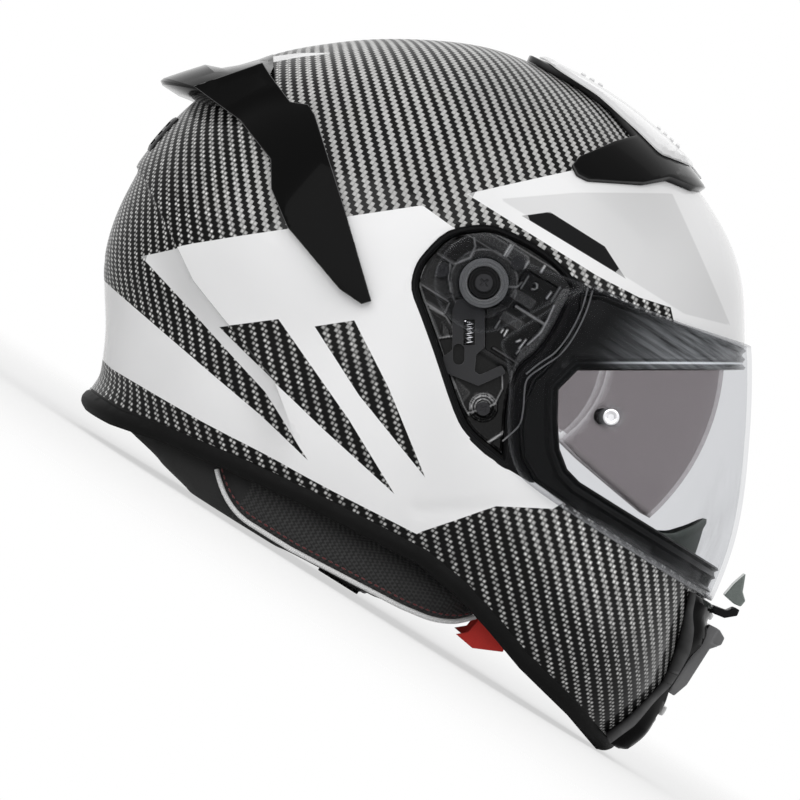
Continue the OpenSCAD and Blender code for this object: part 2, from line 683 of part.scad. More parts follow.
// The stretch of the crown between y0 and y1, as wide as w, for the sliders
module crown_block(w, y0, y1) {
    translate([-w / 2, y0, 180]) cube([w, y1 - y0, 150]);
}
front_slider_y = [-42, -26];
top_slider_y = [4, 18];
cover_top = brow_rise + seat + cover_rise;
module brow_vent_cover() {
    color("white") one_skin() difference() {
        patch(brow_rise + seat, cover_top) polygon(cover_outline);
        crown_block(front_slider_width + 2 * slide_room, front_slider_y[0] - slide_room,
            front_slider_y[1] + vent_travel + 2 * slide_room);
        crown_block(top_slider_width + 2 * slide_room, top_slider_y[0] - slide_room,
            top_slider_y[1] + vent_travel + 2 * slide_room);
    }
}
module crown_slider(w, y, ribs) {
    low = brow_rise + slide_room;
    one_skin() difference() {
        intersection() {
            wall(low, cover_top + 1.6);
            crown_block(w, y[0], y[1]);
        }
        intersection() {
            wall(cover_top, far);
            for (k = [0:ribs - 1]) let (p = (y[1] - y[0]) / ribs)
                crown_block(w + 1, y[0] + (k + 0.55) * p, y[0] + (k + 1) * p);
        }
    }
}
module front_vent_slider() {
    color([0.93, 0.93, 0.94]) crown_slider(front_slider_width, front_slider_y, 4);
}
module top_vent_slider() {
    color([0.93, 0.93, 0.94]) crown_slider(top_slider_width, top_slider_y, 3);
}

// Rear spoiler: a wing across the back with an arm down each side
arm_outline = [[150, 190], [141, 188], [126, 181], [116, 184], [111, 183.5], [91, 166.5],
    [72, 150], [55, 135], [40, 122], [41, 119], [55, 119], [72, 124], [95, 131], [105, 137],
    [117, 153], [128, 157], [152, 158]];
wing_stations = 12;
module wing() {
    points = [for (i = [0:wing_stations]) let (s = 2 * i / wing_stations - 1,
            x = s * wing_half_span, c = s * s, back = -46 * c * c - 12 * c, up = -22 * c)
        each [[x, 136 + back * 0.6, 203 + up], [x, 150 + back * 0.8, 192 + up * 0.8],
            [x, 167 + back, 176 + up * 0.3], [x, 182.4 + back, 157 + up * -0.15],
            [x, 180 + back - wing_edge * 0.6, 157 + up * -0.15 - wing_edge],
            [x, 150 + back, 154 + up * -0.1], [x, 120 + back * 0.6, 170 + up * 0.5]]];
    n = 7;
    faces = concat(
        [for (i = [0:wing_stations - 1], k = [0:n - 1], h = [0, 1])
            let (a = i * n + k, b = i * n + (k + 1) % n, c = a + n, d = b + n)
            h == 0 ? [a, b, d] : [a, d, c]],
        [[for (k = [n - 1:-1:0]) k], [for (k = [0:n - 1]) wing_stations * n + k]]);
    polyhedron(points, faces);
}
module rear_spoiler() {
    color([0.03, 0.03, 0.03]) one_skin() {
        patch(seat, spoiler_rise) polygon(arm_outline);
        difference() {
            wing();
            form(seat);
        }
    }
}
module exhaust_grille() {
    color([0.05, 0.05, 0.05]) one_skin() difference() {
        intersection() {
            patch(seat, 2.2) polygon([[far, 148], [120, 148], [120, 126], [far, 126]]);
            translate([-46, 100, 100]) cube([92, 120, 80]);
        }
        for (z = [130.5:5.2:144]) for (s = [-1, 1])
            translate([s * 22 - 16, 100, z]) cube([32, 120, 2.6]);
    }
}

// Chin vent
chin_outline = [[-155, 85], [-158, 74], [-160, 66], [-166, 52], [-167, 36], [-164, 20],
    [-159, 9], [-far, 9], [-far, 87]];
shutter_profile = [[-172.6, 77.5], [-178, 78], [-182, 76], [-182.4, 72.5], [-178.6, 68],
    [-178.4, 48], [-176, 40.5], [-172.6, 40.5]];
module chin_vent_frame() {
    color([0.05, 0.05, 0.05]) one_skin() difference() {
        patch(seat, chin_rise) polygon(chin_outline);
        translate([-shutter_width / 2 - 0.5, -far, 40.5 - vent_travel - 0.8])
            cube([shutter_width + 1, far - 171.8, 38.6 + vent_travel]);
        translate([-shutter_width / 2 + 5, -far, 44]) cube([shutter_width - 10, far, 26]);
        translate([-insert_width / 2 - 0.4, -far, 5]) cube([insert_width + 0.8, far, 24.4]);
        translate([-catch_width / 2 - 0.3, -far, 82]) cube([catch_width + 0.6, far, 10]);
    }
}
module chin_shutter() {
    color([0.45, 0.46, 0.48]) difference() {
        slab(-shutter_width / 2, shutter_width / 2) polygon(shutter_profile);
        for (z = [50, 56, 62]) translate([0, -178.6, z])
            cube([shutter_width - 14, 2.4, 3], center = true);
        for (s = [-1, 1]) translate([s * shutter_width / 2, -183, 77]) rotate([0, 0, 45])
            cube([8, 8, 12], center = true);
    }
}
insert_width = 60;
module chin_insert() {
    color([0.4, 0.41, 0.43]) one_skin() difference() {
        intersection() {
            wall(seat, 5);
            translate([-insert_width / 2, -far, 10]) cube([insert_width, far, 19]);
        }
        for (s = [-1, 1]) translate([s * 14, -172, 19]) cube([20, 6, 3], center = true);
    }
}
module chin_vent_mesh() {
    w = shutter_width - 12;
    color([0.1, 0.1, 0.1]) difference() {
        translate([-w / 2, -171.3, 45]) cube([w, 1.2, 24]);
        for (k = [0:8], j = [0:3]) translate([(k - 4) * w / 9.4, -170.7, 48.8 + 5.5 * j])
            cube([3, 4, 3.9], center = true);
    }
}
module breath_guard() {
    color([0.16, 0.17, 0.16]) one_skin() patch(-14, -12)
        polygon([[-122, 97], [-124, 103], [-133, 109], [-139, 117], [-145, 125], [-far, 131],
            [-far, 88]]);
}
catch_width = 40;
module visor_catch() {
    color([0.05, 0.05, 0.05]) difference() {
        slab(-catch_width / 2, catch_width / 2)
            polygon([[-171.5, 83], [-177, 84], [-181.5, 88], [-181, 91], [-178.5, 90.6],
                [-176.5, 87.6], [-170, 86.4], [-169.4, 84.6]]);
        slab(-6, 6) polygon([[-178, 80], [-190, 80], [-190, 95], [-178, 95]]);
    }
}
// Wind curtain behind the chin, a thin crescent inside the rim
module chin_curtain() {
    outer = [for (a = [205:10:335]) [72 * cos(a), -72 + 84 * sin(a)]];
    inner = [for (a = [335:-10:205]) [70 * cos(a), -64 + 56 * sin(a)]];
    color([0.08, 0.08, 0.08]) translate([0, 0, 17]) linear_extrude(1.6)
        polygon(concat(outer, inner));
}

// Thumb slider of the sun visor, low on the wearer's left
slider_y = [-66, -52];
slider_z = [46, 55];
track_room = 3;
slider_slope = (shell_x([slider_y[0] + slider_travel, 50]) - shell_x([slider_y[0], 50]))
    / slider_travel;
module sun_slider_track() {
    y0 = slider_y[0] - track_room;
    y1 = slider_y[1] + slider_travel + track_room;
    color([0.06, 0.06, 0.06]) one_skin() difference() {
        intersection() {
            patch(seat, 3) polygon([[y0 - 4, slider_z[0] - 4], [y1 + 2, slider_z[0] - 4],
                [y1 + 5, slider_z[1] + 1], [y1, slider_z[1] + 4], [y0, slider_z[1] + 4]]);
            translate([0, -far, 0]) cube(far);
        }
        intersection() {
            wall(1.2, far);
            slab(0, far) translate([y0 + 1, slider_z[0] - 1])
                square([y1 - y0 - 2, slider_z[1] - slider_z[0] + 2]);
        }
    }
}
module sun_slider() {
    color([0.12, 0.12, 0.12]) one_skin() difference() {
        intersection() {
            wall(1.2 + slide_room, 5.4);
            slab(0, far) translate([slider_y[0], slider_z[0]])
                square([slider_y[1] - slider_y[0], slider_z[1] - slider_z[0]]);
        }
        intersection() {
            wall(4.2, far);
            for (k = [0:2]) slab(0, far) translate([slider_y[0] + 2.4 + 4 * k, slider_z[0] + 1])
                square([1.8, slider_z[1] - slider_z[0] - 2]);
        }
    }
}

// Chin strap: webbing drawn as a band of constant thickness along points in the XZ plane
strap_y = -14;
module webbing(pts) {
    n = len(pts);
    function normal(i) = let (a = pts[max(i - 1, 0)], b = pts[min(i + 1, n - 1)], d = b - a)
        [-d[1], d[0]] / norm(d);
    h = strap_wall / 2;
    translate([0, strap_y + strap_width / 2, 0]) rotate([90, 0, 0]) linear_extrude(strap_width)
        polygon(concat([for (i = [0:n - 1]) pts[i] + h * normal(i)],
            [for (i = [n - 1:-1:0]) pts[i] - h * normal(i)]));
}
anchor_z = 43;
anchor_x = shell_x([strap_y - strap_width / 2, anchor_z - 3], -shell_wall) - 0.5;
loop_radius = 2 * ring_wire + 0.7;
loop_place = [56, loop_radius + strap_wall + 0.5];
module strap_right() {
    low = strap_wall / 2 + 0.5;
    color([0.09, 0.09, 0.1]) difference() {
        webbing([[-anchor_x + 2.6, anchor_z + 5], [-anchor_x + 2.7, anchor_z - 1.6],
            [-anchor_x + 5, 40.6], [-anchor_x + 12.8, 40.2], [-76, 40.6], [-66, 39], [-62.5, 34], [-62, 24],
            [-60, 12], [-56, 5], [-49, low + 0.8], [-40, low], [-10, low], [14, low],
            [18, low + 0.6], [19.4, low + 2], [18, low + 3.4], [14, low + 4], [-26, low + 4]]);
        right_side() anchor_rivet(fit);
    }
}
module strap_left() {
    low = loop_place[1];
    color([0.09, 0.09, 0.1]) {
        difference() {
            webbing([[anchor_x - 2.6, anchor_z + 5], [anchor_x - 2.7, anchor_z - 1.6],
            [anchor_x - 5, 40.6], [anchor_x - 12.8, 40.2], [76, 40.6], [66, 39], [63, 34], [62.6, 24],
            [61.2, low + 5.5], [60.4, low + 3.6]]);
            anchor_rivet(fit);
        }
        difference() {
            translate([loop_place[0], strap_y + strap_width / 2, low]) rotate([90, 0, 0])
                cylinder(h = strap_width, r = loop_radius + strap_wall);
            translate([loop_place[0], strap_y + strap_width, low]) rotate([90, 0, 0])
                cylinder(h = 2 * strap_width, r = loop_radius);
        }
    }
}
module anchor_rivet(grow) {
    translate([anchor_x - 4.6, strap_y, anchor_z + 1]) rotate([0, 90, 0])
        cylinder(h = 3.1, r = 3 + grow);
}
module strap_anchors() {
    color([0.65, 0.66, 0.68]) both_sides() {
        translate([anchor_x - 1.6, strap_y - strap_width / 2, anchor_z - 3])
            cube([1.4, strap_width, 8]);
        anchor_rivet(0);
    }
}
module d_ring(dz) {
    translate([loop_place[0], strap_y, loop_place[1] + dz]) {
        translate([0, ring_bar / 2, 0]) rotate([90, 0, 0]) cylinder(h = ring_bar, r = ring_wire);
        for (s = [-1, 1]) translate([0, s * ring_bar / 2, 0]) {
            sphere(r = ring_wire);
            rotate([0, -90, 0]) cylinder(h = 9, r = ring_wire);
        }
        translate([-9, 0, 0]) rotate([0, 0, 90]) rotate_extrude(angle = 180)
            translate([ring_bar / 2, 0]) circle(r = ring_wire, $fn = 24);
    }
}
module d_rings() {
    color([0.75, 0.76, 0.78]) {
        d_ring(-ring_wire - 0.1);
        d_ring(ring_wire + 0.1);
    }
}
// Pull tabs that free the cheek pads
tab_wall = 1.2;
tab_room = 1.773;         // between each tab and the foam beside it
module pull_tabs() {
    x = shell_x([-88, 44], -cheek_foam - shell_wall) - tab_room - tab_wall;
    color([0.8, 0.1, 0.08]) both_sides() slab(x, x + tab_wall)
        polygon([[-73, 11.5], [-83, 10], [-96, 16], [-95, 22], [-88, 30], [-85, 48.6],
            [-79, 48.6], [-79, 28], [-77.5, 15.5]]);
}

outer_shell();
eps_liner();
crown_liner();
cheek_pad_right();
cheek_pad_left();
neck_roll();
neck_piping();
rim_trim();
eyeport_gasket();
visor_shield();
visor_tab();
lens_pins();
visor_hub_right();
visor_hub_left();
visor_catch();
sun_visor();
base_plate_right();
base_plate_left();
sun_visor_pins();
pivot_screws();
plate_screws();
release_lever_right();
release_lever_left();
release_spring_right();
release_spring_left();
brow_vent_frame();
brow_vent_cover();
front_vent_slider();
top_vent_slider();
rear_spoiler();
exhaust_grille();
chin_vent_frame();
chin_shutter();
chin_insert();
chin_vent_mesh();
breath_guard();
chin_curtain();
sun_slider_track();
sun_slider();
strap_right();
strap_left();
strap_anchors();
d_rings();
pull_tabs();
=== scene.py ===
import json
import math

import bmesh
import bpy
import numpy as np
from mathutils import Matrix, Vector
from mathutils.geometry import delaunay_2d_cdt


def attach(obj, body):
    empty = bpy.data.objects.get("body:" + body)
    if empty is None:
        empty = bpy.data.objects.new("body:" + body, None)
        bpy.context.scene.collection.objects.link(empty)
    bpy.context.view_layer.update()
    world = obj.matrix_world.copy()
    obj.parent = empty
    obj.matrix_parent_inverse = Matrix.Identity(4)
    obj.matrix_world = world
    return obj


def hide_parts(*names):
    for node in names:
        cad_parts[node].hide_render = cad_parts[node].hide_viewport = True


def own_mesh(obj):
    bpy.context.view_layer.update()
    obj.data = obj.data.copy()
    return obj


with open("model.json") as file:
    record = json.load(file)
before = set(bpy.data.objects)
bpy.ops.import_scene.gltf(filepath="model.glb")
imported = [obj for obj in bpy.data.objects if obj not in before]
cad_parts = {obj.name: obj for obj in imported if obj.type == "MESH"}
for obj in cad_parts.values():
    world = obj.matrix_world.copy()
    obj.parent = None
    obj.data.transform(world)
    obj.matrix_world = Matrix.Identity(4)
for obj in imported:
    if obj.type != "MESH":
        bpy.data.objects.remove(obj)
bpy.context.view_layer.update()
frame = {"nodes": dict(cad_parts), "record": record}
MM = 0.001

# Camera
CAMERA_PLACE = (-5.0, 0.0067, 0.0901)
NOSE_DOWN = math.radians(32.0)
LENS = 476.7


def add_object(name, data):
    made = bpy.data.objects.new(name, data)
    bpy.context.scene.collection.objects.link(made)
    return made


def make_camera():
    data = bpy.data.cameras.new("camera")
    data.lens = LENS
    data.sensor_width = 36.0
    data.clip_end = 30.0
    camera = add_object("camera", data)
    c, s = math.cos(NOSE_DOWN), math.sin(NOSE_DOWN)
    turn = Matrix(((0, 0, -1), (-c, s, 0), (s, c, 0)))
    camera.matrix_world = Matrix.Translation(CAMERA_PLACE) @ turn.to_4x4()
    bpy.context.scene.camera = camera


# Shader expressions
class Value:
    """A socket that adds its Math nodes as it is worked with."""

    def __init__(self, tree, socket):
        self.tree, self.socket = tree, socket

    def _math(self, operation, *values, clamp=False):
        return self.tree.node("Math", {"operation": operation, "use_clamp": clamp}, values)

    def __add__(self, o):
        return self._math("ADD", self, o)

    def __radd__(self, o):
        return self._math("ADD", o, self)

    def __sub__(self, o):
        return self._math("SUBTRACT", self, o)

    def __rsub__(self, o):
        return self._math("SUBTRACT", o, self)

    def __mul__(self, o):
        return self._math("MULTIPLY", self, o)

    def __rmul__(self, o):
        return self._math("MULTIPLY", o, self)

    def __truediv__(self, o):
        return self._math("DIVIDE", self, o)

    def __rtruediv__(self, o):
        return self._math("DIVIDE", o, self)

    def __mod__(self, o):
        return self._math("FLOORED_MODULO", self, o)

    def __pow__(self, o):
        return self._math("POWER", self, o)

    def __neg__(self):
        return self * -1.0

    def __lt__(self, o):
        return self._math("LESS_THAN", self, o)

    def __gt__(self, o):
        return self._math("GREATER_THAN", self, o)

    def __abs__(self):
        return self._math("ABSOLUTE", self)

    def floor(self):
        return self._math("FLOOR", self)

    def fract(self):
        return self._math("FRACT", self)

    def sin(self):
        return self._math("SINE", self)

    def clamp(self):
        return self._math("ADD", self, 0.0, clamp=True)

    def min(self, o):
        return self._math("MINIMUM", self, o)

    def max(self, o):
        return self._math("MAXIMUM", self, o)

    def step(self, low, high):
        """0 below low, 1 above high, smooth between."""
        return self.tree.node("MapRange", {"interpolation_type": "SMOOTHSTEP"},
                              {"Value": self, "From Min": low, "From Max": high})


class Tree:
    """A node tree whose nodes are written as expressions."""

    def __init__(self, tree):
        self.nodes, self.links = tree.nodes, tree.links
        self.nodes.clear()

    def node(self, kind, settings=None, values=(), out=0):
        """A node of a type, with settings and with the values or links of its sockets."""
        made = self.nodes.new(kind if "Node" in kind else "ShaderNode" + kind)
        for key, setting in (settings or {}).items():
            setattr(made, key, setting)
        pairs = values.items() if isinstance(values, dict) else enumerate(values)
        for key, value in pairs:
            self.feed(made.inputs[key], value)
        return Value(self, made.outputs[out]) if made.outputs else None

    def feed(self, socket, value):
        if isinstance(value, Value):
            self.links.new(value.socket, socket)
        elif isinstance(value, bpy.types.ID) or not hasattr(socket.default_value, "__len__"):
            socket.default_value = value
        else:
            size = len(socket.default_value)
            value = (value,) * 3 if isinstance(value, (int, float)) else tuple(value)
            socket.default_value = (value + (1.0,))[:size] if size == 4 else value[:size]


class Finish(Tree):
    """The nodes of a material, or of the world."""

    def __init__(self, name, world=False):
        self.owner = (bpy.data.worlds if world else bpy.data.materials).new(name)
        self.owner.use_nodes = True
        super().__init__(self.owner.node_tree)
        self.output = "OutputWorld" if world else "OutputMaterial"

    def place(self, scale=1000.0):
        """Object coordinates in millimetres."""
        point = self.node("TexCoord", out="Object")
        return self.node("VectorMath", {"operation": "SCALE"}, {0: point, "Scale": scale})

    def uv(self, scale=1.0):
        return self.stretched(self.node("TexCoord", out="UV"), (scale, scale, scale))

    def stretched(self, point, scale):
        return self.node("Mapping", {}, {"Vector": point, "Scale": scale})

    def attribute(self, name):
        return self.node("Attribute", {"attribute_name": name}, out="Fac")

    def split(self, vector):
        parts = self.node("SeparateXYZ", {}, (vector,))
        return [Value(self, part) for part in parts.socket.node.outputs]

    def noise(self, point, scale, detail=3.0, rough=0.5):
        return self.node("TexNoise", {}, {"Vector": point, "Scale": scale, "Detail": detail,
                                          "Roughness": rough})

    def mix(self, factor, a, b):
        return self.node("Mix", {"data_type": "RGBA"}, {0: factor, 6: a, 7: b}, out=2)

    def mix_shader(self, factor, a, b):
        return self.node("MixShader", {}, (factor, a, b))

    def bump(self, height, distance, strength=1.0):
        return self.node("Bump", {}, {"Height": height, "Distance": distance * MM,
                                      "Strength": strength})

    def shade(self, **sockets):
        """A Principled shader; names use _ for a space."""
        names = {key.replace("_", " "): value for key, value in sockets.items()}
        return self.node("BsdfPrincipled", {}, names)

    def ray(self, kind):
        return self.node("LightPath", out="Is %s Ray" % kind)

    def finish(self, shader):
        self.node(self.output, {}, (shader,))
        return self.owner


# The shell's form, in mm
SHELL_HALF_WIDTH = 125.0
SHELL_SQUARE = 2.3
CENTRE = np.array([20.0, 115.0])
OUTLINE_REACH = np.array([150, 150, 149, 144, 142, 143.5, 144.5, 149, 155.5, 161.5, 161, 167,
                          180, 194, 214, 192, 165, 153, 150, 150, 149, 147, 141, 147], float)


def spline(a, b, c, d, t):
    """The smooth curve through four points, between the middle two."""
    return 0.5 * (2 * b + (c - a) * t + (2 * a - 5 * b + 4 * c - d) * t ** 2
                  + (3 * b - a - 3 * c + d) * t ** 3)


def reach(angle):
    """Distance from the centre to the outline, by angle in radians, over an array."""
    n = len(OUTLINE_REACH)
    s = (np.degrees(angle) % 360.0) * n / 360.0
    k = np.floor(s).astype(int)
    return spline(*(OUTLINE_REACH[(k + j) % n] for j in (-1, 0, 1, 2)), s - k)


def shell_x(yz, off=0.0):
    """Distance of the form's surface from the centre line at side-view points."""
    v = np.atleast_2d(yz) - CENTRE
    q = np.hypot(v[:, 0], v[:, 1]) / (reach(np.arctan2(v[:, 1], v[:, 0])) + off)
    inside = np.clip(1 - np.clip(q, 0, 1) ** SHELL_SQUARE, 0, None)
    return (SHELL_HALF_WIDTH + off) * inside ** (1 / SHELL_SQUARE)


def on_form(uv, off=0.0):
    """Points on the form's left half from a disc, whose rim is the centre line and whose
    centre is the middle of the side. off may be an array."""
    rho = np.clip(np.hypot(uv[:, 0], uv[:, 1]), 0, 1)
    angle = np.arctan2(uv[:, 1], uv[:, 0])
    lift = (1 - rho) * math.pi / 2
    radius = (reach(angle) + off) * np.cos(lift) ** (2 / SHELL_SQUARE)
    x = (SHELL_HALF_WIDTH + off) * np.sin(lift) ** (2 / SHELL_SQUARE)
    return np.column_stack([x, CENTRE[0] + radius * np.cos(angle),
                            CENTRE[1] + radius * np.sin(angle)])


def to_disc(yz, off=0.0):
    """The disc point of a side-view point, and how near it is to the centre line."""
    v = np.atleast_2d(yz) - CENTRE
    angle = np.arctan2(v[:, 1], v[:, 0])
    q = np.hypot(v[:, 0], v[:, 1]) / (reach(angle) + off)
    lift = np.arccos(np.clip(q, 0, 1) ** (SHELL_SQUARE / 2))
    rho = 1 - lift / (math.pi / 2)
    return np.column_stack([rho * np.cos(angle), rho * np.sin(angle)]), q


def form_normal(uv, off=0.0):
    """Outward normals of the form at disc points."""
    h = 2e-4
    du, dv = np.array([h, 0.0]), np.array([0.0, h])
    inner = uv * 0.9995
    a = on_form(inner + du, off) - on_form(inner - du, off)
    b = on_form(inner + dv, off) - on_form(inner - dv, off)
    n = np.cross(a, b)
    n *= np.sign(np.einsum("ij,ij->i", n, on_form(inner, off) - [0, *CENTRE]))[:, None]
    n /= np.maximum(np.linalg.norm(n, axis=1), 1e-9)[:, None]
    n[np.hypot(uv[:, 0], uv[:, 1]) > 0.9999, 0] = 0.0
    return n / np.linalg.norm(n, axis=1)[:, None]


# Outlines in the side view
def inside(points, outline):
    """Which points lie inside a closed outline."""
    x, y = points[:, 0], points[:, 1]
    hit = np.zeros(len(points), bool)
    ring = np.asarray(outline, float)
    for (x0, y0), (x1, y1) in zip(ring, np.roll(ring, -1, axis=0)):
        crosses = (y0 > y) != (y1 > y)
        with np.errstate(divide="ignore", invalid="ignore"):
            at = (x1 - x0) * (y - y0) / (y1 - y0) + x0
        hit ^= crosses & (x < at)
    return hit


def line_distance(points, path, closed=False):
    """Distance to a line."""
    path = np.asarray(path, float)
    best = np.full(len(points), 1e9)
    for a, b in zip(path, np.roll(path, -1, axis=0) if closed else path[1:]):
        d = b - a
        t = np.clip(((points - a) @ d) / max(d @ d, 1e-9), 0, 1)
        best = np.minimum(best, np.linalg.norm(points - a - t[:, None] * d, axis=1))
    return best


def edge_distance(points, outline):
    """Signed distance to an outline, positive inside."""
    best = line_distance(points, outline, closed=True)
    return np.where(inside(points, outline), best, -best)


def smooth(points, steps=4):
    """A smooth closed curve through points."""
    p = np.asarray(points, float)
    t = np.arange(steps)[:, None] / steps
    rows = []
    for four in zip(*(np.roll(p, k, axis=0) for k in (1, 0, -1, -2))):
        rows.append(spline(*four, t))
    return np.vstack(rows)


def soften(points, radius, steps=4):
    """An outline with its corners rounded by about radius."""
    p = np.asarray(points, float)
    out = []
    for a, b, c in zip(np.roll(p, 1, axis=0), p, np.roll(p, -1, axis=0)):
        la, lc = np.linalg.norm(a - b), np.linalg.norm(c - b)
        s = b + (a - b) * min(0.5, radius / la)
        e = b + (c - b) * min(0.5, radius / lc)
        for t in np.linspace(0, 1, steps + 1):
            out.append((1 - t) ** 2 * s + 2 * t * (1 - t) * b + t ** 2 * e)
    return np.array(out)


def circle(place, radius, count=40):
    a = np.linspace(0, 2 * math.pi, count, endpoint=False)
    return np.column_stack([place[0] + radius * np.cos(a), place[1] + radius * np.sin(a)])


def dense(outline, step):
    """The outline with extra points, at most step apart."""
    ring = np.asarray(outline, float)
    out = []
    for a, b in zip(ring, np.roll(ring, -1, axis=0)):
        n = max(1, math.ceil(np.linalg.norm(b - a) / step))
        out += [a + (b - a) * k / n for k in range(n)]
    return np.array(out)


# Sheets that follow the form
GRID_ROW, FREE_SHARE = 0.866, 0.45
DISC_SIZE, RIM_RADIUS = 225.0, 160.0


def last_place(test, low, high):
    """Between low, where a test holds, and high: the last place that holds, and the next."""
    for _ in range(30):
        middle = (low + high) / 2
        low, high = (middle, high) if test(middle) else (low, middle)
    return low, high


def triangle_grid(low, high, step):
    gx, gy = np.meshgrid(np.arange(low[0], high[0], step),
                         np.arange(low[1], high[1], step * GRID_ROW))
    gx = gx + (np.arange(gx.shape[0]) % 2)[:, None] * step / 2
    return np.column_stack([gx.ravel(), gy.ravel()])


def triangles(points, edges, fill, drawn, rings, lines, step, merge):
    """Triangles on edges and fill points, inside the first ring and outside the others.
    drawn gives the places in the drawing of the rings and lines."""
    side, free = drawn(fill), step * FREE_SHARE
    keep = edge_distance(side, rings[0]) > free
    for ring in rings[1:]:
        keep &= edge_distance(side, ring) < -free
    for line in lines:
        keep &= np.abs(edge_distance(side, line)) > free
    points = points + [tuple(p) for p in fill[keep]]
    flat, _, tris, *_ = delaunay_2d_cdt([Vector(p) for p in points], edges, [], 0, merge)
    flat, tris = np.array([tuple(p) for p in flat]), np.array(tris)
    middle = drawn(flat[tris].mean(axis=1))
    good = inside(middle, rings[0])
    for ring in rings[1:]:
        good &= ~inside(middle, ring)
    a, b, c = (flat[tris[:, k]] for k in range(3))
    area = (b[:, 0] - a[:, 0]) * (c[:, 1] - a[:, 1]) - (b[:, 1] - a[:, 1]) * (c[:, 0] - a[:, 0])
    good &= np.abs(area) > 1e-10
    tris[area < 0] = tris[area < 0][:, ::-1]
    tris = tris[good]
    used = np.unique(tris)
    remap = np.full(len(flat), -1)
    remap[used] = np.arange(len(used))
    return flat[used], remap[tris]


class Sheet:
    """Triangles on the form inside an outline, alike on both sides of the helmet."""

    def __init__(self, outline, off=0.0, holes=(), lines=(), step=3.0):
        disc_step = step / DISC_SIZE
        rings = [np.asarray(outline, float)] + [np.asarray(h, float) for h in holes]
        points, edges, rim_marks = [], [], []

        def add(p):
            points.append(tuple(p))
            return len(points) - 1

        for ring in rings + [np.asarray(line, float) for line in lines]:
            ring = dense(ring, min(step, 2.0) * 0.7)
            near, q = to_disc(ring, off)
            first = last = None
            for k in range(len(ring)):
                here = q[k] < 1
                j = (k + 1) % len(ring)
                there = q[j] < 1
                if here and last is None:
                    last = add(near[k])
                    if k == 0:
                        first = last
                if here and there:
                    nxt = first if (j == 0 and first is not None) else add(near[j])
                    edges.append((last, nxt))
                    last = nxt
                elif here != there:
                    near_end, far_end = (ring[k], ring[j]) if here else (ring[j], ring[k])
                    cut, _ = last_place(lambda v: to_disc(v, off)[1][0] < 1, near_end, far_end)
                    p = to_disc(cut, off)[0][0]
                    p /= np.hypot(*p)
                    end = add(p)
                    rim_marks.append(math.atan2(p[1], p[0]))
                    if here:
                        edges.append((last, end))
                        last = None
                    else:
                        nxt = first if (j == 0 and first is not None) else add(near[j])
                        edges.append((end, nxt))
                        last = nxt
        rim_step = step / RIM_RADIUS
        angles = np.arange(0, 2 * math.pi, rim_step)
        if rim_marks:
            marks = np.array(rim_marks) % (2 * math.pi)
            gap = np.abs((angles[:, None] - marks + math.pi) % (2 * math.pi) - math.pi).min(1)
            angles = np.sort(np.concatenate([angles[gap > rim_step * 0.4], np.unique(marks)]))
        rim = [add((math.cos(a), math.sin(a))) for a in angles]
        edges += [(a, b) for a, b in zip(rim, rim[1:] + rim[:1])]
        fill = triangle_grid((-1, -1), (1, 1), disc_step)
        fill = fill[np.hypot(fill[:, 0], fill[:, 1]) < 1 - disc_step * 0.6]
        flat, tris = triangles(points, edges, fill, lambda uv: on_form(uv, off)[:, 1:], rings,
                               lines, step, 1e-7)
        on_rim = np.hypot(flat[:, 0], flat[:, 1]) > 0.99999
        twin = np.where(on_rim, np.arange(len(flat)), -1)
        free = np.flatnonzero(~on_rim)
        twin[free] = len(flat) + np.arange(len(free))
        self.uv = np.vstack([flat, flat[free]])
        self.sign = np.concatenate([np.ones(len(flat)), -np.ones(len(free))])
        self.tris = np.vstack([tris, twin[tris][:, ::-1]])

    def points(self, off):
        p = on_form(self.uv, off)
        p[:, 0] *= self.sign
        return p

    def normals(self, off=0.0):
        n = form_normal(self.uv, off)
        n[:, 0] *= self.sign
        return n


def border(tris):
    """Closed loops of the open edges, with the sheet on their left."""
    edges = dict.fromkeys((t[k], t[(k + 1) % 3]) for t in tris for k in range(3))
    follow = {}
    for a, b in edges:
        if (b, a) not in edges:
            follow.setdefault(a, []).append(b)
    loops = []
    while follow:
        start = next(iter(follow))
        loop, here = [start], start
        while True:
            nxt = follow[here].pop()
            if not follow[here]:
                del follow[here]
            if nxt == start:
                break
            loop.append(nxt)
            here = nxt
        loops.append(loop)
    return loops


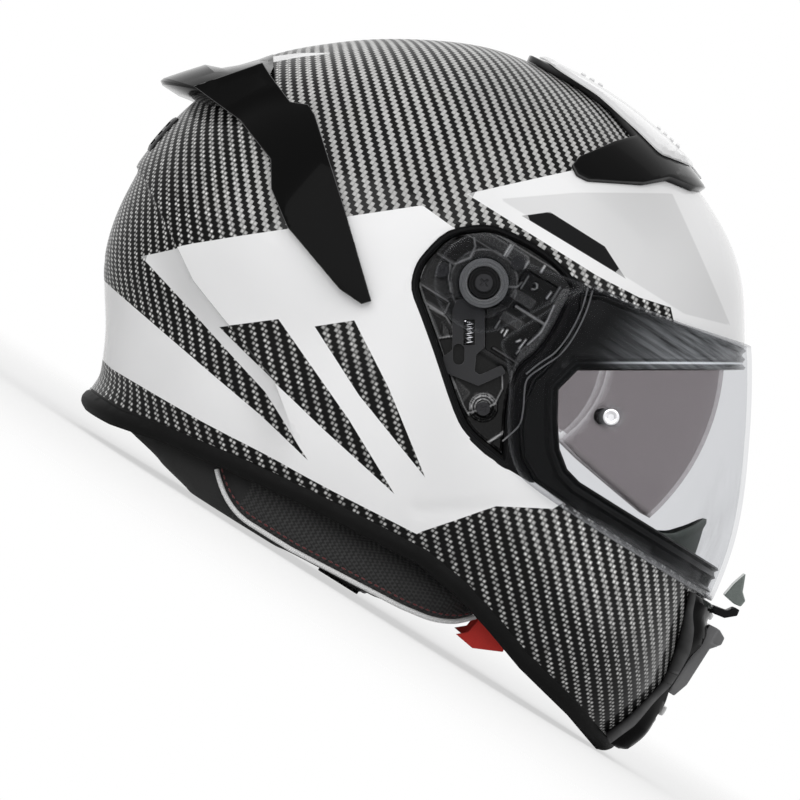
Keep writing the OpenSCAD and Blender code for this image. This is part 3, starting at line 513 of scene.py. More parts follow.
def plate(sheet, low, high, edge, steps=2, top=None, bottom=None):
    """A closed plate between two offsets of the form, with its upper edge rounded.
    top and bottom may give an own height for each point of the sheet."""
    high_at = np.full(len(sheet.uv), float(high)) if top is None else np.asarray(top, float)
    low_at = np.full(len(sheet.uv), float(low)) if bottom is None else np.asarray(bottom, float)
    normal = sheet.normals(high)
    upper = sheet.points(0.0) + normal * high_at[:, None]
    lower = sheet.points(0.0) + normal * low_at[:, None]
    parts, tris = [upper, lower], [sheet.tris, sheet.tris[:, ::-1] + len(upper)]
    origin = [np.arange(len(upper)), np.arange(len(upper))]
    count = 2 * len(upper)
    for loop in border(sheet.tris):
        loop = np.array(loop)
        p = upper[loop]
        along = np.roll(p, -1, axis=0) - np.roll(p, 1, axis=0)
        out = np.cross(along, normal[loop])
        out /= np.maximum(np.linalg.norm(out, axis=1), 1e-9)[:, None]
        r = np.minimum(edge, (high_at - low_at)[loop] * 0.45)
        upper[loop] = p - out * r[:, None]
        rings = [loop]
        for k in range(1, steps + 1):
            a = math.pi / 2 * k / steps
            parts.append(upper[loop] + out * (r * math.sin(a))[:, None]
                         - normal[loop] * (r * (1 - math.cos(a)))[:, None])
            origin.append(loop)
            rings.append(count + np.arange(len(loop)))
            count += len(loop)
        rings.append(len(upper) + loop)
        for a, b in zip(rings, rings[1:]):
            a1, b1 = np.roll(a, -1), np.roll(b, -1)
            tris.append(np.column_stack([a, b, b1]))
            tris.append(np.column_stack([a, b1, a1]))
    return np.vstack(parts), np.vstack(tris), np.concatenate(origin)


def edge_marks(sheet, points):
    """1 on the points of a plate's rounded edge, 0 on its two faces."""
    return (np.arange(len(points)) >= 2 * len(sheet.uv)) * 1.0


def along_form(start, way, off=0.0):
    """Where lines that start inside the form and go one way come out of its surface."""
    start = np.asarray(start, float)
    near, away = np.zeros(len(start)), np.full(len(start), 300.0)
    for _ in range(36):
        mid = (near + away) / 2
        p = start + mid[:, None] * way
        within = shell_x(p[:, 1:], off) > np.maximum(np.abs(p[:, 0]), 1e-6)
        near, away = np.where(within, mid, near), np.where(within, away, mid)
    return start + near[:, None] * way


def on_crown(ab, off=0.0):
    """Points of the crown above plan places x, y."""
    start = np.column_stack([ab, np.full(len(ab), CENTRE[1])])
    return along_form(start, np.array([0, 0, 1.0]), off)


def on_face(ab, off=0.0):
    """Points of the chin and face in front of places x, z."""
    start = np.column_stack([ab[:, 0], np.full(len(ab), CENTRE[0] - 100), ab[:, 1]])
    return along_form(start, np.array([0, -1.0, 0]), off)


def on_back(ab, off=0.0):
    start = np.column_stack([ab[:, 0], np.full(len(ab), CENTRE[0] + 60), ab[:, 1]])
    return along_form(start, np.array([0, 1.0, 0]), off)


def flat_at(x):
    """A flat sheet across the helmet at x, drawn in the side view."""
    return lambda ab, off=0.0: np.column_stack([np.full(len(ab), x + off), ab])


class Plan:
    """Triangles inside a plan outline, laid on a surface that a function gives."""

    def __init__(self, outline, surface, holes=(), lines=(), step=2.0):
        rings = [dense(outline, step)] + [dense(h, step) for h in holes]
        marks = [dense(line, step) for line in lines]
        points, edges = [], []
        for ring in rings + marks:
            first = len(points)
            points += [tuple(p) for p in ring]
            edges += [(first + k, first + (k + 1) % len(ring)) for k in range(len(ring))]
        fill = triangle_grid(rings[0].min(axis=0), rings[0].max(axis=0), step)
        self.uv, self.tris = triangles(points, edges, fill, lambda ab: ab, rings, marks, step, 1e-6)
        self.surface = surface
        p = self.points(0.0)
        a, b, c = (p[self.tris[:, k]] for k in range(3))
        out = np.einsum("ij,ij->i", np.cross(b - a, c - a), self.normals()[self.tris[:, 0]])
        self.tris[out < 0] = self.tris[out < 0][:, ::-1]

    def points(self, off):
        return self.surface(self.uv, off)

    def normals(self, off=0.0):
        h = 0.05
        du, dv = np.array([h, 0.0]), np.array([0.0, h])
        a = self.surface(self.uv + du, off) - self.surface(self.uv - du, off)
        b = self.surface(self.uv + dv, off) - self.surface(self.uv - dv, off)
        n = np.cross(a, b)
        n /= np.maximum(np.linalg.norm(n, axis=1), 1e-9)[:, None]
        out = self.surface(self.uv, off + 1.0) - self.surface(self.uv, off)
        return n * np.sign(np.einsum("ij,ij->i", n, out))[:, None]


def inset(outline, depth):
    """The outline moved inwards by depth, along its corners' bisectors."""
    p = np.asarray(outline, float)
    area = np.sum(p[:, 0] * np.roll(p[:, 1], -1) - np.roll(p[:, 0], -1) * p[:, 1])
    a = p - np.roll(p, 1, axis=0)
    b = np.roll(p, -1, axis=0) - p
    a /= np.maximum(np.linalg.norm(a, axis=1), 1e-9)[:, None]
    b /= np.maximum(np.linalg.norm(b, axis=1), 1e-9)[:, None]
    normal = np.column_stack([-(a + b)[:, 1], (a + b)[:, 0]]) * np.sign(area)
    size = np.linalg.norm(normal, axis=1)
    normal /= np.maximum(size, 1e-9)[:, None]
    return p + normal * (depth / np.maximum(size / 2, 0.5))[:, None]


def blend_step(value, low, high):
    t = np.clip((value - low) / (high - low), 0, 1)
    return t * t * (3 - 2 * t)


# Making objects
def new_mesh(name, points, faces, material, scale=MM, angle=35.0):
    mesh = bpy.data.meshes.new(name)
    points = np.asarray(points, float) * scale
    mesh.from_pydata(points.tolist(), [], [list(map(int, f)) for f in faces])
    mesh.validate()
    mesh.materials.append(material)
    piece = add_object(name, mesh)
    mesh.shade_smooth()
    mesh.set_sharp_from_angle(angle=math.radians(angle))
    return piece


def ride(piece, body, slot, *nodes):
    """The piece rides on a body and stands for nodes, whose parts it hides; slot is not used."""
    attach(piece, body)
    if nodes:
        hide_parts(*nodes)
    return piece


def revolved(profile, centre, side, count=48):
    """A closed solid turned about a cross axis through a side-view point, from a closed
    profile of radius and distance from the centre line."""
    profile = np.asarray(profile, float)
    n = len(profile)
    a = np.linspace(0, 2 * math.pi, count, endpoint=False)
    r, x = profile[:, 0], profile[:, 1]
    points = np.stack([np.tile(x, (count, 1)) * side,
                       centre[0] + np.outer(np.cos(a), r), centre[1] + np.outer(np.sin(a), r)],
                      axis=-1).reshape(-1, 3)
    return points, outward(points, tube_faces(count, n, closed=True))


def turned_pair(profile, centre, count=48):
    """The same turned solid on both sides."""
    return joined(*(revolved(profile, centre, side, count) for side in (-1, 1)))


def ring_faces(pairs, m):
    """Faces between pairs of rings of m points each."""
    return [(i * m + k, i * m + (k + 1) % m, j * m + (k + 1) % m, j * m + k)
            for i, j in pairs for k in range(m)]


def tube_faces(n, m, closed=False):
    """Faces of n rings of m points each, which end where they began or are capped."""
    if closed:
        return ring_faces([(i, (i + 1) % n) for i in range(n)], m)
    return ring_faces([(i, i + 1) for i in range(n - 1)], m) + [
        tuple(range(m - 1, -1, -1)), tuple((n - 1) * m + k for k in range(m))]


def outward(points, faces):
    """The faces of a closed solid, turned over if they point inwards."""
    p = np.asarray(points, float)
    total = 0.0
    for f in faces:
        for k in range(1, len(f) - 1):
            total += np.dot(p[f[0]], np.cross(p[f[k]], p[f[k + 1]]))
    return [tuple(reversed(f)) for f in faces] if total < 0 else faces


def swept(path, section, closed=False, up=(0, 0, 1), side=None):
    """A section of side and up offsets, swept along a path in space. section may be a
    function of the place along the path, from 0 to 1, and side a fixed side direction."""
    path = np.asarray(path, float)
    n = len(path)
    along = np.roll(path, -1, axis=0) - np.roll(path, 1, axis=0)
    if not closed:
        along[0], along[-1] = path[1] - path[0], path[-1] - path[-2]
    along /= np.linalg.norm(along, axis=1)[:, None]
    if side is None:
        across = np.cross(along, np.asarray(up, float))
        across /= np.maximum(np.linalg.norm(across, axis=1), 1e-9)[:, None]
    else:
        across = np.tile(np.asarray(side, float), (n, 1))
    rise = np.cross(across, along)
    rows = []
    for k in range(n):
        shape = np.asarray(section(k / (n - 1)) if callable(section) else section, float)
        rows.append(path[k] + shape[:, :1] * across[k] + shape[:, 1:] * rise[k])
    points = np.vstack(rows)
    return points, outward(points, tube_faces(n, len(rows[0]), closed))


def curve_through(points, steps=6):
    """A smooth open curve through points in space."""
    p = np.asarray(points, float)
    p = np.vstack([2 * p[0] - p[1], p, 2 * p[-1] - p[-2]])
    rows = []
    for a, b, c, d in zip(p, p[1:], p[2:], p[3:]):
        rows += [spline(a, b, c, d, t) for t in np.arange(steps) / steps]
    return np.vstack(rows + [p[-2]])


def joined(*solids):
    """Several solids as one list of points and faces."""
    points, faces, count = [], [], 0
    for p, f in solids:
        points.append(np.asarray(p, float))
        faces += [tuple(int(k) + count for k in face) for face in f]
        count += len(p)
    return np.vstack(points), faces


def round_section(radius, count=12):
    return circle((0, 0), radius, count)


def eased(piece, width):
    """Rounds the sharp edges of a piece by a bevel of width mm."""
    bevel = piece.modifiers.new("eased edges", "BEVEL")
    bevel.width = width * MM
    bevel.segments = 2
    bevel.limit_method = "ANGLE"
    bevel.angle_limit = math.radians(35)
    bevel.harden_normals = False
    bevel.use_clamp_overlap = True


def from_cad(node, name, slot, body, width, finish=None, edge=None):
    """A copy of a CAD node, welded, with its edges eased, and perhaps of another finish."""
    mesh = frame["nodes"][node].data.copy()
    work = bmesh.new()
    work.from_mesh(mesh)
    bmesh.ops.remove_doubles(work, verts=work.verts, dist=0.004 * MM)
    bmesh.ops.dissolve_limit(work, angle_limit=math.radians(1.0), verts=work.verts,
                             edges=work.edges)
    work.to_mesh(mesh)
    work.free()
    mesh.materials.clear()
    mesh.materials.append(FINISH[finish or slot])
    piece = add_object(name, mesh)
    mesh.shade_smooth()
    mesh.set_sharp_from_angle(angle=math.radians(30))
    if width:
        eased(piece, width)
    if edge:
        mesh.materials.append(FINISH[edge])
        piece.modifiers["eased edges"].material = 1
    return ride(piece, body, slot, node)


# Outlines of the pieces
RIM_LINE = [(-220, 2), (-158, 2), (-137, 9), (-106, 16), (-85, 23), (-64, 29), (-41, 32),
            (-14, 30), (20, 27), (59, 22), (89, 17), (112, 14), (220, 14)]
EYEPORT = [(-38, 176), (-48, 181), (-60, 183), (-90, 190), (-121, 197), (-220, 222),
           (-220, 90), (-86, 90), (-66, 91), (-55, 97), (-47, 108), (-42, 119), (-40, 131),
           (-43, 141), (-44, 152), (-43, 166)]
EYE_CLEAR = [(-56, 146), (-128, 191), (-220, 249), (-220, 103), (-105, 102), (-84, 102),
             (-76, 104), (-68, 110), (-60, 121), (-53, 133)]
POCKET = smooth([(17, 179), (29, 168), (33, 154), (33, 145), (29, 136), (19, 128), (5, 117),
                 (-17, 99), (-28, 93), (-41, 91), (-51, 91), (-45, 104), (-38, 118),
                 (-35, 131), (-38, 141), (-39, 152), (-38, 166), (-34, 179), (-14, 184),
                 (5, 183)], 3)
POCKET_FLOOR = 110.0
VISOR_PIVOT = (2.5, 156.3)
SHELL_WALL = 4.0


# Painted zones of the shell
DOME_ZONE = [(190, 78), (157, 71), (126, 101), (111, 114), (92, 130), (72, 149), (37, 179),
             (32, 186), (-4, 222), (-56, 254), (-110, 300), (220, 320), (240, 100)]
STRIP_ZONE = [(50, 172), (37, 179), (32, 187), (-40, 187), (-62, 189), (-77, 193), (-83, 187),
              (-83, 180), (-60, 176), (20, 170)]
CHEEK_ZONE = [(-26, 30), (-34, 44), (-57, 72), (-80, 85), (-86, 96), (-220, 96),
              (-220, -40), (-20, -40)]
REAR_ZONE = [(240, 48), (129, 31), (80, 33), (40, 36), (10, 38), (-36, 42), (-44, 20),
             (240, -30)]
SLASHES = [
    [(168, 66), (150, 84), (62, 60), (28, 44), (60, 50)],
    [(96, 74), (74, 92), (22, 70), (-14, 52), (30, 60)],
    [(58, 98), (44, 110), (14, 92), (-22, 66), (24, 82)],
]
BLACK_LIP = [(-30, 180.5), (-42, 180.5), (-62, 184), (-66, 89.6), (-50, 89.4), (-40, 90),
             (-30, 92.2), (-30, 100), (-33, 118), (-33, 131), (-36, 150), (-34, 170), (-20, 182)]
SIDE_PLATE = [(4, 192), (-6, 200.5), (-36, 200.5), (-52, 193)]


def set_attribute(piece, name, values):
    made = piece.data.attributes.new(name, "FLOAT", "POINT")
    made.data.foreach_set("value", np.asarray(values, np.float32))


def panel(name, sheet, low, high, edge, top, finish, slot, node, angle=35.0, steps=2,
          bottom=None, body="helmet", **marks):
    """A plate as a piece; marks are attributes, given for each point of its sheet."""
    points, tris, origin = plate(sheet, low, high, edge, steps, top, bottom)
    piece = new_mesh(name, points, tris, FINISH[finish], angle=angle)
    for key, values in marks.items():
        set_attribute(piece, key, values[origin])
    return ride(piece, body, slot, node), points, origin


def on_side(points, faces, side):
    """A closed solid drawn on the left, on the given side."""
    points = points * [side, 1, 1]
    return points, outward(points, [tuple(f) for f in faces])


def arc_table():
    """Arc lengths from the middle of the side to points of the disc."""
    angles = np.linspace(-math.pi, math.pi, 180)
    rho = np.linspace(0, 1, 80)
    grid = []
    for angle in angles:
        p = on_form(np.column_stack([rho * math.cos(angle), rho * math.sin(angle)]))
        grid.append(np.concatenate([[0], np.cumsum(np.linalg.norm(np.diff(p, axis=0), axis=1))]))
    return angles, rho, np.array(grid)


def cloth_map(uv):
    """Flat coordinates, in mm, of the cloth laid over the form."""
    angles, rho, grid = arc_table()
    angle = np.arctan2(uv[:, 1], uv[:, 0])
    r = np.hypot(uv[:, 0], uv[:, 1])
    i = np.clip(np.searchsorted(angles, angle) - 1, 0, len(angles) - 2)
    t = (angle - angles[i]) / (angles[i + 1] - angles[i])
    low = np.array([np.interp(a, rho, grid[k]) for a, k in zip(r, i)])
    high = np.array([np.interp(a, rho, grid[k + 1]) for a, k in zip(r, i)])
    arc = low * (1 - t) + high * t
    return np.column_stack([arc * np.cos(angle), arc * np.sin(angle)])


def set_map(piece, flat):
    """Writes flat coordinates of each point as the piece's UV map."""
    layer = piece.data.uv_layers.new(name="cloth")
    corners = np.zeros(len(piece.data.loops), np.int32)
    piece.data.loops.foreach_get("vertex_index", corners)
    layer.data.foreach_set("uv", flat[corners].astype(np.float32).ravel())


# Finishes
WHITE = (1.0, 1.0, 1.0)
TOW = 2.0
CROWN_STRIPE = [(148, 189), (147, 192), (133, 203), (118, 212), (132, 201), (145, 189)]
BROW_PANEL = [(32, 188), (-9, 219), (-50, 245), (-117, 200), (-85, 189)]


def grey(m, tone, tint=WHITE):
    """A colour from one number, tinted."""
    return m.node("CombineColor", {}, {k: tone * tint[k] for k in range(3)})


def twill(m):
    """A 2 by 2 twill of carbon tows on the cloth's flat map: which tow is up, its bow, threads."""
    x, y, _ = m.split(m.uv(1.0 / TOW))
    drift = m.noise(m.place(), 0.012, 2.0) - 0.5
    ripple = m.noise(m.place(), 0.05, 2.0) - 0.5
    x = x + drift * 3.0 + ripple * 0.5
    y = y + drift * 1.7 + ripple * 0.4
    across, along = x.floor(), y.floor()
    warp = ((across - along) % 4.0) < 1.5
    fx, fy = x.fract() - 0.5, y.fract() - 0.5
    bow = 1.0 - (fx * 2.0) ** 2.0
    weft_bow = 1.0 - (fy * 2.0) ** 2.0
    cell = m.node("TexWhiteNoise", {"noise_dimensions": "2D"},
                  {"Vector": m.node("CombineXYZ", {}, {0: across, 1: along, 2: 0.0})})
    return warp, bow, weft_bow, cell, m.noise(m.stretched(m.uv(), (7.0, 0.5, 1.0)), 1.0, 2.0)


def shell_finish():
    """White lacquer and clear-coated carbon twill, divided by painted edges. The silver, sheen and
    glints of the twill are painted reflections; the white carries painted shade below the rear
    crease.
    """
    m = Finish("lacquered laminate")
    warp, bow, weft_bow, cell, threads = twill(m)
    _, y, z = m.split(m.place())
    wander = m.noise(m.place(), 0.016, 2.0) - 0.5
    # Painted glints: small glints replace the full painted shine low down, towards the front and at
    # the back
    low = 1.0 - (z - y * 0.25 + wander * 30.0).step(78.0, 112.0)
    front = 1.0 - (y + z * 0.35 + wander * 90.0).step(20.0, 75.0)
    rear = (y + wander * 30.0).step(112.0, 140.0)
    glint = low.max(front * 0.75).max(rear * 0.8).clamp()
    white = m.attribute("white").step(-0.12, 0.12)
    whole = (bow.max(0.0) ** 0.22) * (weft_bow.max(0.0) ** 0.08)
    speck = ((bow * weft_bow).max(0.0) ** 1.7) * (0.62 + 0.6 * cell)
    lit = whole + (speck - whole) * glint
    # Painted sheen and painted tow shine: the warp tows' silver stands in for light reflected by
    # the fibres, dimmer low down
    sheen = 0.78 + 0.5 * (m.noise(m.place(), 0.010, 1.0) - 0.5) * 2.0
    painted_tow_shine = (0.46 + 0.26 * threads + 0.10 * cell) * (1.0 - 0.2 * low) + 0.34 * glint
    dull = 0.002 + (1.0 - warp) * 0.014 * threads * (weft_bow.max(0.0)) * (1.0 - glint)
    carbon = grey(m, warp * lit * painted_tow_shine * sheen.max(0.35) + dull, (1.0, 0.995, 0.98))
    border = m.attribute("border")
    pearl = border.step(4.6, 5.4)
    airbrush = m.noise(m.place(), 0.012, 1.0).step(0.35, 0.75)
    # Painted shade on the white just below the rear crease
    crease = m.attribute("crease").step(0.0, 1.0)
    paint = grey(m, 0.84 - 0.10 * airbrush - 0.16 * crease - 0.14 * pearl, (1.0, 1.0, 1.006))
    colour = m.mix(white, carbon, paint)
    badge = m.attribute("plate").step(-0.12, 0.12)
    colour = m.mix(badge, colour, (0.006, 0.006, 0.0065))
    rough = 0.36 - 0.12 * white
    height = warp * bow + (1.0 - warp) * weft_bow
    normal = m.bump(height * (1.0 - white) * 0.5 + white * 0.9, 0.08, 0.45)
    turned = z.step(130.0, 235.0).max(y.step(90.0, 150.0))
    coat = (1.0 - 0.85 * badge) * (1.0 - 0.75 * (1.0 - white) * turned)
    return m.finish(m.shade(Base_Color=colour, Roughness=rough, Normal=normal,
                            Specular_IOR_Level=0.03, Coat_Weight=coat,
                            Coat_Roughness=0.03, Coat_IOR=1.22))


def moulded(name, colour, rough, grain, coat=0.0, speck=0.0):
    """Moulded plastic with a fine spark texture and slight variation."""
    m = Finish(name)
    spark = m.noise(m.place(), 1.6, 4.0, 0.7)
    broad = m.noise(m.place(), 0.05, 2.0)
    tint = 0.85 + 0.3 * broad + speck * (spark - 0.5)
    return m.finish(m.shade(Base_Color=grey(m, tint, colour),
                            Roughness=rough + 0.12 * (broad - 0.5),
                            Normal=m.bump(spark, 0.06 * grain, 0.6), Coat_Weight=coat,
                            Specular_IOR_Level=0.06, Coat_IOR=1.22, Coat_Roughness=0.04))


def edged_black():
    """Deep gloss black with painted highlights along its worked edges."""
    m = Finish("edged gloss black")
    # Painted highlight: lighter colour on the edges that the attribute marks
    lit = 0.003 + m.attribute("bright") * (0.7 + 0.6 * m.noise(m.place(), 0.2, 2.0))
    return m.finish(m.shade(Base_Color=grey(m, lit, (1.0, 1.0, 1.01)), Roughness=0.14,
                            Specular_IOR_Level=0.02, Coat_Weight=0.14, Coat_IOR=1.24,
                            Coat_Roughness=0.03))


def mechanism_finish():
    """Moulded black plastic: sparkly grey pads, painted highlights along the edges, black pockets.
    """
    m = Finish("mechanism plastic")
    tone, speck, bright = m.attribute("tone"), m.attribute("speck"), m.attribute("bright")
    spark = m.noise(m.place(), 1.7, 4.0, 0.75)
    fine = m.noise(m.place(), 3.6, 2.0, 0.6)
    grain = (spark - 0.46).max(0.0) * 0.34 + (fine - 0.55).max(0.0) * 0.25
    broken = 0.65 + 0.7 * m.noise(m.place(), 0.55, 3.0)
    # Painted highlight added on the marked edges, broken up by noise
    lit = tone + speck * grain + bright * broken
    return m.finish(m.shade(Base_Color=grey(m, lit, (1.0, 1.0, 1.01)), Roughness=0.34,
                            Normal=m.bump(spark, 0.10, 0.6), Coat_Weight=0.35,
                            Specular_IOR_Level=0.12, Coat_IOR=1.24, Coat_Roughness=0.08))


def clear_finish(name, skin_colour, film, through, rim_film=0.0, tinted_foot=False,
                 hidden_edges=False):
    """Clear or smoked plastic: see-through faces, brighter cut edges, gloss at grazing angles."""
    m = Finish(name)
    skin = m.shade(Base_Color=skin_colour, Roughness=0.04, Specular_IOR_Level=0.5)
    air = m.node("BsdfTransparent", {}, {"Color": through})
    facing = m.node("LayerWeight", {}, {"Blend": 0.12}, out=1)
    factor = film + facing ** 4.0 * 0.5
    if rim_film:
        factor = factor + m.attribute("rim") * rim_film
    if tinted_foot:
        _, y, _ = m.split(m.place())
        streak = m.noise(m.stretched(m.place(), (0.12, 0.12, 0.006)), 1.0, 2.0)
        factor = factor + m.attribute("low") * 0.45 \
            + (-y).step(128.0, 178.0) * (streak - 0.42).max(0.0) * 0.5
    shader = m.mix_shader(factor.clamp(), air, skin)
    if hidden_edges:
        clear = m.node("BsdfTransparent", {}, {"Color": WHITE})
        shader = m.mix_shader(m.attribute("hidden"), shader, clear)
    return m.finish(shader)


def seal_finish():
    """Rubber seal whose brow band turns smoky and glossy towards the face, with painted reflection
    streaks and a painted highlight along the lip.
    """
    m = Finish("eyeport seal")
    front, lip = m.attribute("front"), m.attribute("lip")
    spark = m.noise(m.place(), 1.4, 3.0, 0.7)
    # Painted highlight: a thin bright line about 3 mm from the inner edge
    painted_lip_highlight = 1.0 - (abs(lip - 3.0) * 1.3).clamp()
    # Stretched noise for the painted streaks of reflected light on the smoky band
    streak = m.noise(m.stretched(m.place(), (0.05, 0.02, 0.5)), 1.0, 3.0)
    _, y, _ = m.split(m.place())
    smoke_and_painted_streaks = 0.05 + 0.75 * (streak - 0.33).max(0.0) * (1.0 - (-y).step(110.0, 122.0) * 0.7)
    tone = 0.004 + front * smoke_and_painted_streaks + painted_lip_highlight * (front * 1.5 + 0.012) + 0.003 * spark
    return m.finish(m.shade(Base_Color=grey(m, tone, (1.0, 1.03, 1.06)),
                            Roughness=0.42 - front * 0.22, Normal=m.bump(spark, 0.04, 0.5),
                            Coat_Weight=0.3, Specular_IOR_Level=0.08, Coat_IOR=1.24))


def metal(name, colour, rough):
    m = Finish(name)
    streak = m.noise(m.place(), 1.2, 4.0)
    return m.finish(m.shade(Base_Color=colour, Metallic=1.0,
                            Roughness=rough + 0.15 * (streak - 0.4),
                            Normal=m.bump(streak, 0.01, 0.5)))


def woven(name, colour, pitch, rough=0.9, depth=0.25, fuzz=0.4):
    """Plain woven cloth on Object coordinates."""
    m = Finish(name)
    x, y, z = m.split(m.place(1000.0 * 2 * math.pi / pitch))
    weave = (x.sin() * y.sin() + y.sin() * z.sin() + z.sin() * x.sin()) * 0.33 + 0.5
    fluff = m.noise(m.place(), 1.4, 4.0, 0.7)
    tone = 0.7 + 0.35 * weave + fuzz * (fluff - 0.5)
    return m.finish(m.shade(Base_Color=grey(m, tone, colour), Roughness=rough,
                            Sheen_Weight=0.3, Normal=m.bump(weave + fluff * 0.4, depth, 0.7)))


def roll_finish():
    """Suede round the back, fine ribbed mesh on the front panels, parted at a seam."""
    m = Finish("neck roll cloth")
    x, y, z = m.split(m.place())
    suede = y.step(43.5, 45.5)
    nap = m.noise(m.place(), 1.1, 5.0, 0.75)
    cell = (x * 2.4 + y * 2.4).sin() * (z * 3.4).sin() + (y * 2.4 - x * 2.4).sin() * 0.5
    mesh = cell.step(-0.5, 0.7)
    tone = m.mix(suede, grey(m, 0.012 + 0.026 * mesh), grey(m, 0.006 + 0.014 * nap))
    height = nap * suede * 0.5 + mesh * (1.0 - suede)
    return m.finish(m.shade(Base_Color=tone, Roughness=0.85, Sheen_Weight=0.15,
                            Normal=m.bump(height, 0.22, 0.7)))


def webbing_finish(name, colour, pitch):
    """Strap webbing: fine ribs across, and a herringbone along the weave."""
    m = Finish(name)
    u, v, _ = m.split(m.uv())
    rib = (u * (2 * math.pi / pitch)).sin() * 0.5 + 0.5
    cord = (v * (2 * math.pi / 1.6) + (u * (math.pi / pitch)).sin() * 1.5).sin() * 0.5 + 0.5
    fluff = m.noise(m.place(), 1.6, 3.0, 0.7)
    tone = 0.55 + 0.4 * rib * cord + 0.3 * (fluff - 0.5)
    return m.finish(m.shade(Base_Color=grey(m, tone, colour), Roughness=0.75, Sheen_Weight=0.2,
                            Normal=m.bump(rib * 0.6 + cord * 0.6 + fluff * 0.2, 0.25, 0.7)))


def foam_finish():
    m = Finish("beaded foam")
    cells = m.node("TexVoronoi", {"feature": "F1"}, {"Vector": m.place(), "Scale": 0.35})
    return m.finish(m.shade(Base_Color=grey(m, 0.035 + 0.04 * cells), Roughness=0.85,
                            Normal=m.bump(cells, 0.3, 0.5)))


FINISH = {
    "lacquered_laminate": shell_finish(),
    "gloss_black": moulded("gloss black", (0.003, 0.003, 0.0035), 0.16, 0.1, 0.8),
    "black_plastic": moulded("black plastic", (0.009, 0.009, 0.0095), 0.36, 1.6, 0.0, 1.0),
    # A lighter copy of the black plastic for edges, beads and rings: painted highlight
    "bright_plastic": moulded("painted highlight plastic", (0.16, 0.16, 0.163), 0.22, 0.8, 0.3, 0.8),
    "satin_plastic": moulded("satin plastic", (0.036, 0.036, 0.038), 0.3, 0.6, 0.3, 0.25),
    "mechanism": mechanism_finish(),
    "edged_black": edged_black(),
    "white_lacquer": moulded("white lacquer", (0.68, 0.68, 0.685), 0.28, 0.0, 1.0),
    "grey_plastic": moulded("grey plastic", (0.15, 0.15, 0.152), 0.42, 1.0, 0.0, 0.3),
    "guard_plastic": moulded("guard plastic", (0.12, 0.135, 0.125), 0.6, 0.8),
    "rubber": moulded("rubber", (0.008, 0.008, 0.008), 0.5, 0.8),
    "seal": seal_finish(),
    "clear_glass": clear_finish("clear polycarbonate", (0.22, 0.225, 0.235), 0.003,
                                (0.90, 0.903, 0.91), 0.34, True),
    "clear_glass_plain": clear_finish("clear moulding", (0.2, 0.21, 0.22), 0.004,
                                      (0.95, 0.955, 0.96)),
    "tab_glass": clear_finish("tab moulding", (0.05, 0.058, 0.055), 0.5, (0.6, 0.64, 0.62)),
    "smoked_glass": clear_finish("smoked polycarbonate", (0.20, 0.19, 0.19), 0.04,
                                 (0.765, 0.745, 0.75), 0.35, hidden_edges=True),
    "bright_steel": metal("polished steel", (0.82, 0.82, 0.84), 0.2),
    "dark_steel": metal("blackened steel", (0.03, 0.03, 0.032), 0.3),
    "spring_steel": metal("spring wire", (0.62, 0.62, 0.64), 0.25),
    "liner_foam": foam_finish(),
    "liner_cloth": woven("brushed knit", (0.05, 0.05, 0.055), 1.6),
    "roll_cloth": roll_finish(),
    "piping_cloth": woven("piping cloth", (0.8, 0.8, 0.8), 1.0, 0.8, 0.15, 0.1),
    "curtain_cloth": woven("curtain cloth", (0.03, 0.03, 0.03), 1.2),
    "webbing": webbing_finish("strap webbing", (0.035, 0.035, 0.037), 1.4),
    "red_tape": webbing_finish("red tape", (1.0, 0.045, 0.03), 1.2),
    "thread": woven("thread", (0.02, 0.02, 0.02), 0.4, 0.7, 0.05),
    "red_thread": woven("red thread", (0.13, 0.008, 0.01), 0.4, 0.7, 0.05),
}


# Shell, pocket and trim
REAR_CREASE = [(190, 125), (162, 114), (117, 86), (94, 78), (61, 67), (33, 45), (26, 20)]
CHEEK_GROOVE = [(-28, 51), (-50, 66), (-81, 90)]
CREASE_DEPTH, GROOVE_DEPTH, TAIL_FLARE = 1.5, 0.9, 6.5
TRIM_HEIGHT, TRIM_WALL = 8.0, 2.2


def below_line(points, line):
    """How far points lie below a polyline, negative above it."""
    ring = list(line) + [(line[-1][0], -400), (line[0][0], -400)]
    best = line_distance(points, line)
    return np.where(inside(points, ring), best, -best)


def tail_flare(side):
    """How far the rim kicks out under the back of the shell."""
    down = 1 - blend_step(side[:, 1], 15, 31)
    return TAIL_FLARE * blend_step(side[:, 0], 84, 124) * down * down


def shell_relief(side):
    """Low relief of the shell: a sharp crease along the back, a groove behind the cheek."""
    fall = below_line(side, REAR_CREASE)
    crease = -CREASE_DEPTH * blend_step(fall, -0.6, 1.0) * (1 - blend_step(fall, 4, 34))
    crease *= blend_step(side[:, 0], 24, 60)
    swell = 0.5 * blend_step(fall, -16, -1) * (1 - blend_step(fall, -0.6, 1.0))
    dent = -GROOVE_DEPTH * (1 - blend_step(line_distance(side, CHEEK_GROOVE), 0.5, 5.0))
    return crease + swell * blend_step(side[:, 0], 40, 70) + dent + tail_flare(side)


